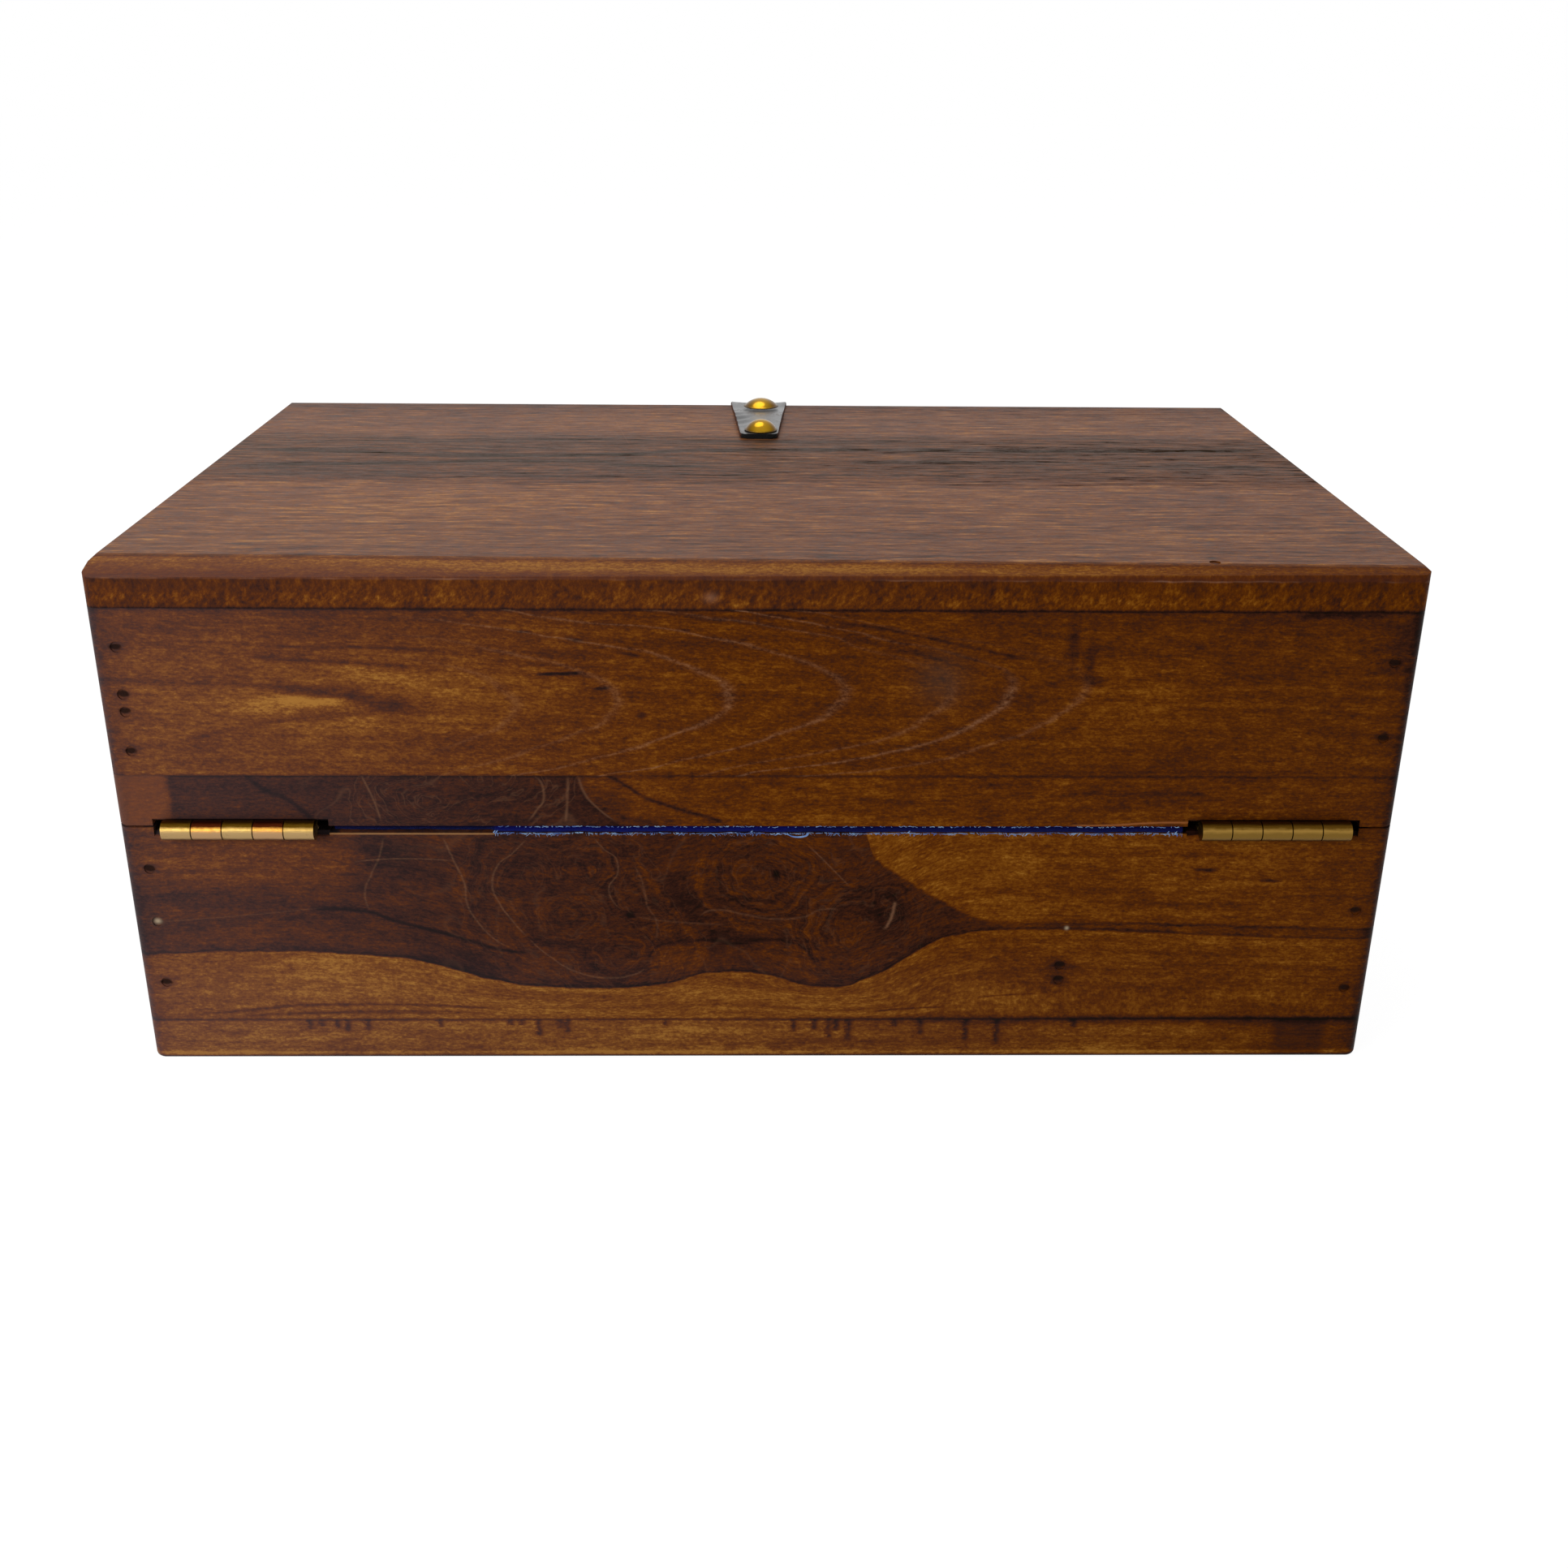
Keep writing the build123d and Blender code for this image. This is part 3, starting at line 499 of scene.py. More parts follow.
HEART_PALE = (
    (((104.4, 57.6), (98, 59), (90, 59.3), (77, 58.6)), 0.16, 0.5, 2.0),
    (((60.3, 36.6), (54.3, 30.6), (48, 26.4), (40.7, 24.6), (34.3, 25.2), (29.6, 27.8)), 0.28, 0.42, 1.0),
    (((16, 40.2), (12, 44.6), (3.4, 43.2), (-5, 42), (-11.3, 42.6), (-17.6, 45), (-21, 44.4)), 0.3, 0.3, 1.0),
    (((-12, 63.5), (-16.3, 58.9), (-20.5, 54.3), (-23.7, 50.8)), 0.3, 0.35, 1.0),
    (((33, 43), (20, 41), (8, 40.4)), 0.3, 0.2, 2.0),
    (((158, 41), (140, 42.4), (110, 45.6)), 0.18, 0.25, 4.0),
)
# The same, for lines that run up the board: points (height, place along the box)
HEART_PALE_UPRIGHT = (
    (
        ((65.7, 80.4), (59.4, 78.2), (51.9, 75.6), (46.7, 75.4), (40.8, 72.7), (36.1, 68.8), (33.2, 64)),
        0.3, 0.45, 1.0,
    ),
    (((65.7, 95.2), (60, 96.7), (54.8, 99.2), (48.4, 101.3), (44.2, 100)), 0.3, 0.35, 1.0),
    (
        ((65.2, 58.9), (60.6, 63.2), (57.2, 67), (51.9, 68.6), (46.7, 67.1), (42, 64.3), (36.6, 60.3)),
        0.3, 0.42, 1.0,
    ),
    (
        ((65.7, 42.5), (61.8, 39.5), (58.9, 36.5), (55.4, 36.4), (50.8, 38.8), (47.3, 37.9), (44.4, 33.8)),
        0.26, 0.35, 1.0,
    ),
    (((57.7, 32.4), (52, 30), (46.1, 29.1), (40.2, 26.6), (35.4, 27.2)), 0.3, 0.25, 1.0),
    (((47.4, -34.9), (44.6, -34.6), (41.6, -33.8), (38.8, -32.3)), 0.42, 0.9, 0.5),
)
HEART_SPOTS = (
    ((33.3, 43.4), (1.3, 1.0), 0.4),
    ((-4.1, 54.9), (0.9, 1.0), 0.4),
    ((-35.5, 43.5), (2.6, 5.0), 0.17),
    ((-31.5, 43.0), (2.2, 4.2), 0.10),
    ((10.5, 54.5), (1.2, 4.0), 0.12),
    ((91, 61), (8, 8), 0.14),
    ((102, 60), (5, 6), 0.07),
    ((60, 28), (10, 4), -0.05),
    ((122, 38.6), (34, 3.0), -0.11),
    ((-22, 29), (9, 5), -0.1),
    ((18, 28), (10, 5), -0.09),
    ((-20, 50), (8, 4), -0.07),
    ((72, 47), (3.5, 8), 0.05),
    ((20, 60), (10, 6), -0.09),
    ((8, 40), (17, 3), -0.07),
    ((50, 34), (5, 3), -0.04),
    ((-22, 36.5), (5, 4), -0.06),
    ((86, 34), (16, 3), -0.12),
    ((88, 50), (12, 5), -0.06),
    ((30, 52), (4, 6), -0.07),
    ((-8, 62), (10, 3), -0.05),
    ((52, 60), (16, 3), 0.05),
    ((57, 46), (4, 7), -0.05),
    ((22, 44), (8, 8), 0.04),
)
SAP_TONES = (
    (-170, 0.03), (-140, 0.04), (-100, 0.035), (-60, 0.06), (-20, 0.10), (20, 0.155), (60, 0.185),
    (100, 0.18), (140, 0.12), (170, 0.10),
)
SAP_DARK = (
    (((152, 13.4), (136, 14.8), (112, 16.6), (90, 16.4), (64, 13.4)), 0.5, 0.26, 5.0),
    (((140, 12.6), (116, 14.2), (92, 14.6), (70, 12.6)), 0.4, 0.2, 5.0),
    (((128, 13.0), (100, 14.0), (76, 13.2)), 0.3, 0.14, 5.0),
    (((-28, 14.0), (-42, 15.4), (-52, 15.8)), 0.3, 0.3, 3.0),
    (((-56, 18.2), (-66, 19.4), (-76, 19.8)), 0.25, 0.22, 3.0),
    (((-110, 56.4), (-119, 56)), 0.5, 0.42, 1.5),
    (((-128, 53.4), (-135, 52.8)), 0.45, 0.36, 1.5),
    (((-60, 62), (-90, 60.4), (-130, 60.6)), 0.6, 0.07, 8.0),
    (((-40, 57), (-60, 50.5), (-90, 47), (-140, 45)), 0.9, 0.06, 8.0),
    (((-50, 26), (-80, 22.6), (-130, 21)), 0.7, 0.06, 8.0),
)
SAP_SPOTS = (
    ((-78.6, 24.2), (2.2, 1.4), 0.3),
    ((-78.4, 28.4), (2.6, 1.5), 0.22),
    ((-78, 30.4), (1.6, 0.7), 0.16),
    ((112, 24), (40, 5), -0.04),
    ((-20, 19), (14, 6), -0.03),
    ((-62, 52), (14, 8), -0.06),
    ((-150, 20), (9, 16), 0.06),
    ((-152, 50), (8, 12), 0.05),
)


def knot_level(shader, x, z, knots):
    """Distance from the nearest knot, in sizes of that knot, flowing together between them."""
    bend_x = x + noise(x / 11, z / 9, 1.0) * 2.6 + noise(x / 3.6, z / 3.2, 14.0) * 0.9
    bend_z = z + noise(x / 9, z / 8, 5.0) * 2.2 + noise(x / 3.4, z / 3.0, 17.0) * 0.8
    near = total([spot(bend_x, bend_z, centre, size) for centre, size in knots])
    squares = -shader.math("LOGARITHM", near + 1e-6, math.e)
    return shader.math("SQRT", shader.math("MAXIMUM", squares, 0.0))


def growth(shader, level, x, z):
    """Growth rings round knots: soft bands and thin pale lines."""
    bands = noise(level * 3.4, x / 40, z / 40, detail=4.0, rough=0.65)
    hair = ridge(noise(level * 2.6, x / 14, z / 14 + 9.0, detail=1.0), 0.055)
    return bands, hair


def base_back_wood():
    """Back of the base: knotty heartwood above, with growth rings, and plain sapwood below."""
    shader = Shader("base_back_wood")
    x, z = shader.x, shader.z
    lower = curve(x, *HEART_LOWER)
    upper = curve(x, *HEART_UPPER)
    pull = smooth(z, 8.0, 26.0) * 0.75
    grain = Grain(shader, x, z - (lower - 30.0) * pull, shader.y)
    below = z - lower + grain.mottle * 0.5
    above = upper - z + grain.mottle * 0.7
    heart = smooth(below, -0.35, 0.35) * smooth(above, -0.6, 0.8)
    level = knot_level(shader, x, z, KNOTS)
    bands, hair = growth(shader, level, x, z)
    burr = within(x, -44.0, 88.0, 12.0)
    # Painted sheen, stronger at the left of the picture and near the lower edge
    sheen_veil = painted_sheen_share(shader, 0.028)
    end_part = smooth(x + grain.mottle * 3.0, 99.0, 106.0)
    end_tone = smooth(z + grain.streaks * 3.0, 44.0, 60.0) * 0.19 + smooth(x, 104.0, 150.0) * 0.04
    arch = curve(x, *ISLAND_ARCH)
    in_arch = within(x, -14.6, 29.0, 0.8)
    island = smooth(arch - z, 0.0, 1.0) * in_arch
    rim = ridge(below - 1.0, 1.3) * within(x, -44.0, 114.0, 12.0)
    band = smooth(x, -52.0, -62.0)
    heart_value = (
        0.36
        + bands * burr * 0.23
        + grain.texture * (1.1 - burr * 0.3)
        + end_part * end_tone
        + island * 0.10
        - ridge(z - arch, 0.6) * in_arch * 0.14
        - rim * 0.10
        - ridge(below - 0.35, 0.45) * 0.2
        - ridge(above - 0.4, 0.4) * smooth(x, -58.0, -100.0) * 0.22
        - strokes(shader, x, z, HEART_DARK)
        - spots(shader, HEART_SPOTS)
        + band * 0.16
    )
    sap_value = (
        0.615
        + curve(x, *SAP_TONES)
        + grain.texture
        - strokes(shader, x, z, SAP_DARK)
        - spots(shader, SAP_SPOTS)
    )
    value = sap_value + (heart_value - sap_value) * heart
    stain, heads = nail_marks(shader, grain, "base_nails")
    # A broad darker band at the ends with painted shade on the rounded corners, and painted shade where the
    # hinges are let in
    value = value - end_band_and_corner_shade(shader, grain) - joint_line(shader, bottom_joint) - stain - hinge_recess_shade(shader) * 0.6
    value = value - smooth(z, bottom_joint + 1.8, bottom_joint) * smooth(x, 20.0, -120.0) * 0.3
    drawn = strokes(shader, x, z, HEART_PALE) + strokes(shader, z, x, HEART_PALE_UPRIGHT)
    pale = (hair * burr * 0.11 + drawn * (0.75 + grain.speckle * 0.5)) * heart
    raw_edge = within(x, 67.0, 111.0, 0.8) * smooth(shader.y, half_depth - 0.4, half_depth - 0.3)
    raw_edge = raw_edge * smooth(z, 66.0, 66.2)
    chips = spot(x, z, PALE_CHIP, (0.9, 0.7)) + spot(x, z, (-80.0, 39.4), (0.5, 0.5))
    tints = (
        (sheen_veil, PAINTED_SHEEN),
        heads,
        (shader.math("MINIMUM", pale, 0.7), PALE_LINE),
        (raw_edge * 0.7, RAW_WOOD),
        (chips * 0.8, (190, 170, 140)),
    )
    return finish_wood(shader, grain, value, tints)


# Upper back board of the lid: a cathedral figure with its tips to the right of the picture
CATHEDRAL_TIPS = ((60, 0.45), (35, 0.5), (7.4, 0.8), (-21, 0.75), (-47, 0.5), (-62, 1.0), (-80, 0.5))
LID_DARK = (
    (((166, 107), (147, 107), (125.7, 106.2), (114, 105), (102.3, 104)), 0.9, 0.10, 3.0),
    (((122, 106.0), (112, 104.9), (100, 103.2), (92, 101.2), (82, 100.2)), 1.6, 0.24, 4.0),
    (((110, 105.4), (98, 103.8), (88, 101.0)), 2.4, 0.08, 4.0),
    (((158, 88.8), (142, 91.5), (129, 94.8), (119, 96.6), (107, 98), (94, 98.8)), 0.8, 0.14, 3.0),
    (((118, 99), (100, 99.4), (84, 98.4)), 1.0, 0.08, 4.0),
    (((126, 113.6), (109, 112.4), (95.8, 111.8), (80, 110.4)), 0.55, 0.2, 4.0),
    (((126, 116.6), (109, 115.8), (91.5, 115.8), (68, 113.2), (44, 110.6)), 0.5, 0.13, 5.0),
    (((152, 119.6), (120, 119.4), (90, 118)), 1.2, 0.05, 8.0),
    (((59.4, 119.8), (54.6, 120)), 0.35, 0.34, 1.0),
    (((55.4, 109.0), (42.4, 109.5)), 0.42, 0.5, 1.4),
    (((41.6, 105.2), (35.6, 105.8)), 0.45, 0.34, 1.0),
    (((34.6, 114.6), (28, 113.6)), 0.45, 0.26, 1.0),
    (((48, 118.8), (42.4, 117.4)), 0.5, 0.26, 1.0),
    (((21, 120.6), (16, 120.4)), 0.4, 0.24, 1.0),
    (((22, 124.6), (4, 122.4), (-16, 119.6), (-32, 116), (-46, 112.4), (-56, 109.4)), 0.8, 0.14, 4.0),
    (((4, 124.6), (-18, 122.6), (-36, 119.6), (-52, 116), (-66, 113.2)), 0.5, 0.20, 3.0),
    (((-128, 124.5), (-138, 124.6), (-154, 124.2)), 0.9, 0.3, 2.5),
    (((-60, 83.4), (-100, 83.5), (-150, 83.6)), 0.5, 0.1, 9.0),
)
LID_SPOTS = (
    ((113, 102.3), (10, 1.9), -0.24),
    ((106, 102.0), (7, 1.0), -0.12),
    ((122, 100.6), (12, 3.6), -0.07),
    ((96, 108.2), (16, 3.0), -0.16),
    ((78, 106.0), (12, 2.2), -0.08),
    ((100, 96), (22, 3.0), -0.09),
    ((84, 95), (22, 3.4), -0.05),
    ((130, 101), (24, 5), -0.04),
    ((150, 92), (12, 5), -0.03),
    ((29.4, 98.5), (1.1, 0.8), 0.4),
    ((33.6, 92.2), (0.7, 0.6), 0.26),
    ((-76, 117.5), (1.3, 6.5), 0.22),
    ((-80.5, 113), (1.3, 6.5), 0.2),
    ((-82.4, 107.4), (2.6, 1.0), 0.26),
    ((-157, 119), (9, 7), 0.14),
    ((-95, 103), (16, 6), -0.08),
    ((-20, 98), (9, 6), 0.03),
    ((12, 118), (12, 3), 0.07),
    ((-44, 109), (5, 5), 0.05),
)


def lid_back_wood():
    """Upper back board of the lid, with its cathedral figure."""
    shader = Shader("lid_back_wood")
    x, z = shader.x, shader.z
    grain = Grain(shader, x, z - x * 0.03, shader.y)
    off_axis = z + (x - 60.0) * 0.045 - 101.0 + noise(x / 30, z / 8, 2.0) * 1.2
    right = smooth(x, 5.0, -50.0)
    above = smooth(off_axis, -2.0, 2.0)
    spread = 0.150 - right * 0.055 + above * (right * 0.12 - 0.01)
    front = x - off_axis * off_axis * spread + grain.mottle * 1.3
    tips = total([ridge(front - tip, 1.3) * share for tip, share in CATHEDRAL_TIPS])
    shades = total([ridge(front - tip - 3.4, 2.6) * share for tip, share in CATHEDRAL_TIPS])
    near = smooth(x, 96.0, 62.0) * smooth(x, -110.0, -70.0)
    rings = noise(front / 3.2, x / 60, z / 60, detail=3.0)
    # Painted sheen, stronger at the left of the picture
    sheen_veil = painted_sheen_share(shader)
    stain, heads = nail_marks(shader, grain, "lid_nails")
    value = (
        0.61
        + sheen_veil
        # Painted shade towards the right of the picture; near the top less painted sheen and more painted
        # shade on the right
        - smooth(x, 40.0, -60.0) * 0.03
        - smooth(z, 111.0, 120.0) * (sheen_veil * 1.6 + smooth(x, 0.0, -60.0) * 0.05)
        + spot(x, z, (98, 100), (22, 10)) * 0.04
        + grain.texture
        + rings * near * 0.05
        - shades * near * 0.035
        - tips * right * above * 0.10
        - strokes(shader, x, z, LID_DARK)
        - spots(shader, LID_SPOTS)
        - smooth(z, 119.0, 125.0) * 0.05
        # darker band at the ends, with painted shade on the rounded corners
        - end_band_and_corner_shade(shader, grain)
        - stain
        - joint_line(shader, top_joint)
        - joint_line(shader, strip_joint) * 0.6
    )
    broken = 0.6 + grain.speckle * 0.9 + grain.mottle * 0.5
    pale = shader.math("MINIMUM", tips * near * (1.0 - right * above * 0.8) * broken * 0.5, 0.6)
    grey = spot(x, z, (-44, 108), (6, 6)) * 0.3
    tints = (
        (sheen_veil, PAINTED_SHEEN),
        heads,
        (shader.math("MAXIMUM", pale, 0.0), (146, 104, 76)),
        (grey, (84, 66, 54)),
    )
    return finish_wood(shader, grain, value, tints)


# Strip over the saw cut: the edge of its darker wedge, and the lines drawn on it
STRIP_WEDGE = (
    (9.0, 69.6), (16.9, 72.1), (22.4, 73.9), (28.7, 76.3), (33.7, 79.7), (38.0, 82.2), (39.5, 82.5),
)
STRIP_DARK = (
    (((129, 83.4), (123, 78), (119, 76.3), (115.4, 73), (111, 68.6)), 1.0, 0.26, 0.5),
    (STRIP_WEDGE, 0.55, 0.34, 1.0),
    (((42.6, 74.4), (38, 72.2), (32, 70.4), (25, 68.8)), 0.9, 0.16, 1.5),
    (((6, 82), (-16, 78), (-34, 75.4), (-60, 74)), 1.0, 0.09, 6.0),
    (((-70, 79), (-110, 77.6), (-150, 78)), 0.8, 0.08, 8.0),
)
STRIP_PALE_UPRIGHT = (
    (((83, 99.4), (81, 98.8), (75.8, 96.9), (69.6, 95.4)), 0.3, 0.4, 1.0),
    (((82.6, 57.5), (77.5, 54.2), (72.5, 56.5), (69.4, 59)), 0.35, 0.4, 1.0),
    (((82.6, 48), (75.8, 48.4), (69, 49.2)), 0.35, 0.35, 1.0),
    (((82.6, 45.4), (77.5, 44), (73.6, 41), (69.4, 36)), 0.4, 0.4, 1.0),
)
STRIP_KNOTS = (((83, 76), (5.5, 3.6)), ((70, 82), (7, 4)))


def lid_strip_wood():
    """Narrow strip over the saw cut: sapwood with one knotty dark patch."""
    shader = Shader("lid_strip_wood")
    x, z = shader.x, shader.z
    grain = Grain(shader, x, z + x * 0.02, shader.y)
    edge = x - curve(z, (67, 33.5), (69.5, 36), (73.6, 41), (77.5, 44), (83.4, 46)) + grain.mottle * 0.7
    heart = smooth(edge, -0.6, 0.8) * smooth(x + grain.mottle * 1.6, 148.6, 146.2)
    wedge = curve(x, (0, 66), *STRIP_WEDGE, (54, 88))
    inside_wedge = smooth(wedge - z, -0.4, 0.8) * smooth(x, 4.0, 12.0)
    bands, hair = growth(shader, knot_level(shader, x, z, STRIP_KNOTS), x, z)
    burr = within(x, 42.0, 112.0, 8.0)
    # Painted sheen, stronger at the left of the picture
    sheen_veil = painted_sheen_share(shader)
    heart_value = (
        0.295 + bands * burr * 0.13 + grain.texture * 0.7
        - ridge(x - 146.5 + grain.mottle, 1.6) * 0.07
        + spot(x, z, (121, 72), (7, 4)) * 0.07
        + smooth(x, 112.0, 145.0) * 0.06
        - ridge(edge - 1.4, 1.2) * 0.06
    )
    shadow = smooth(wedge - z, 0.0, 9.0) * 0.06 + smooth(edge, -14.0, -1.0) * 0.1
    sap_value = (
        0.60
        # painted shade towards the right of the picture
        - smooth(x, -30.0, -70.0) * 0.03
        + grain.texture * 1.1
        - inside_wedge * (shadow + 0.03)
        + smooth(x, 10.0, 30.0) * 0.03
        + smooth(x, 140.0, 152.0) * 0.06
    )
    value = sap_value + (heart_value - sap_value) * heart - strokes(shader, x, z, STRIP_DARK)
    # A broad darker band at the ends with painted shade on the rounded corners, and painted shade where the
    # hinges are let in
    value = value - end_band_and_corner_shade(shader, grain) - joint_line(shader, strip_joint) * 0.6 - hinge_recess_shade(shader) * 0.6
    pale = (hair * burr * 0.2 + strokes(shader, z, x, STRIP_PALE_UPRIGHT)) * smooth(edge, -1.5, 0.0)
    patch = smooth(x, 146.5, 149.5) * 0.25
    rim = hinge_axis.z + (hinge_axis.y - half_depth) * math.tan(SLOPE)
    chipped = rim + 0.5 + smooth(x, -84.0, -104.0) * 0.9
    splinter = within(x, -110.0, -80.0, 3.0) * ridge(z - chipped + grain.mottle * 0.1, 0.28)
    tints = (
        (sheen_veil, PAINTED_SHEEN),
        (shader.math("MINIMUM", pale, 0.7), PALE_LINE),
        (patch, (150, 88, 56)),
        (splinter * 0.7, (170, 104, 56)),
    )
    return finish_wood(shader, grain, value, tints)


# Bottom board: tones from right to left, and the dark ticks along its upper joint by place and length
BOTTOM_TONES = (
    (-170, -0.04), (-140, -0.02), (-100, 0.09), (-60, 0.08), (-20, 0.05), (20, 0.14), (60, 0.12), (100, 0.07),
    (140, 0.13), (170, 0.10),
)
TICKS = (
    (119, 2.6), (116, 1.8), (112, 2.4), (109.2, 3.2), (103.8, 2.8), (84.7, 2.0), (66, 1.5), (63, 1.6),
    (58.6, 4.4), (52.8, 2.4), (51, 3.4), (25, 1.8), (-9, 3.4), (-14.4, 3.0), (-18.3, 5.0), (-20.4, 3.2),
    (-23.6, 5.8), (-36, 2.0), (-43, 4.2), (-55, 6.0), (-63.5, 6.8), (-84, 2.4),
)


def bottom_wood():
    """Edge of the bottom board, with dark ticks along its upper joint."""
    shader = Shader("bottom_wood")
    x, z = shader.x, shader.z
    grain = Grain(shader, x, z, shader.y / 1.6)
    side = x + grain.mottle * 0.7 + grain.speckle * 0.4
    on_back = smooth(shader.y, half_depth - 12.0, half_depth - 8.0)
    ticks = total([
        ridge(side - place, 0.8) * smooth(z, bottom_joint - length * 1.25, bottom_joint - length)
        for place, length in TICKS
    ])
    blot = within(side, -151.5, -137.5, 1.6) * (0.5 + smooth(grain.speckle + grain.mottle, -0.4, 0.6))
    right = smooth(x, 10.0, -90.0)
    # Painted sheen, stronger at the left of the picture and near the lower edge
    sheen_veil = painted_sheen_share(shader, 0.042)
    value = (
        0.655
        + grain.texture
        + curve(x, *BOTTOM_TONES)
        - ticks * on_back * (0.36 + grain.mottle * 0.3)
        - blot * on_back * 0.22
        - smooth(z, bottom_joint - 2.4, bottom_joint - 0.4) * right * 0.3
        - joint_line(shader, bottom_joint)
        + ridge(z - 1.9, 0.55) * 0.22
        # painted shade on the rounded lower edge
        - smooth(z, 1.3, 0.8) * 0.42
        # darker band at the ends, with painted shade on the rounded corners
        - end_band_and_corner_shade(shader, grain)
        # painted shade towards the right of the picture
        - right * 0.03
    )
    cut_corner = smooth(x - z * 0.9, half_width - 3.2, half_width - 2.4) * on_back * 0.5
    return finish_wood(shader, grain, value, ((sheen_veil, PAINTED_SHEEN), (cut_corner, (150, 112, 84))))


# Top board: tones and greyness of the bands across it, from front to back
TOP_TONES = (
    (-102, 0.34), (-96, 0.40), (-84, 0.55), (-66, 0.58), (-56, 0.61), (-51, 0.56), (-46, 0.51),
    (-30, 0.49), (-18, 0.54), (-8, 0.52), (4, 0.49), (13, 0.535), (22, 0.60), (33, 0.635), (50, 0.63),
    (70, 0.61), (90, 0.60), (102, 0.60),
)
TOP_GREY = (
    (-102, 0.2), (-56, 0.1), (-46, 0.7), (-30, 0.8), (-12, 0.75), (2, 0.6), (14, 0.3), (28, 0.0), (70, 0.1),
    (90, 0.2), (102, 0.2),
)
TOP_LINES = (
    (
        ((158, -26), (122, -23), (82, -18), (42, -21), (18, -27), (-30, -29), (-98, -28), (-158, -32)),
        2.0, 0.5, 8.0,
    ),
    (((150, -40), (110, -38), (60, -42), (10, -40), (-60, -42)), 1.6, 0.26, 12.0),
    (((158, -4), (102, -8), (62, -11), (38, -7), (10, -4)), 1.9, 0.5, 8.0),
    (((-22, -11), (-60, -12), (-98, -13)), 2.2, 0.36, 8.0),
    (((-100, -6), (-130, -8), (-158, -4)), 1.8, 0.28, 8.0),
    (((158, 8), (120, 6), (80, 7), (30, 9)), 1.8, 0.22, 9.0),
    (((60, 14), (48, 15), (36, 14.6)), 1.2, 0.3, 3.0),
    (((26, 16), (10, 17), (-20, 16)), 0.9, 0.2, 6.0),
    (((158, 80), (110, 84), (80, 90), (40, 92)), 0.7, 0.12, 8.0),
    (((-40, 92), (-70, 84), (-110, 80), (-158, 84)), 0.7, 0.14, 8.0),
    (((70, 72), (30, 74), (-10, 73)), 0.6, 0.10, 8.0),
    (((120, 60), (60, 62), (0, 61)), 0.7, 0.07, 10.0),
    (((-20, 52), (-80, 54), (-150, 52)), 0.8, 0.09, 10.0),
    (((150, 36), (90, 37), (20, 35)), 0.6, 0.06, 10.0),
)


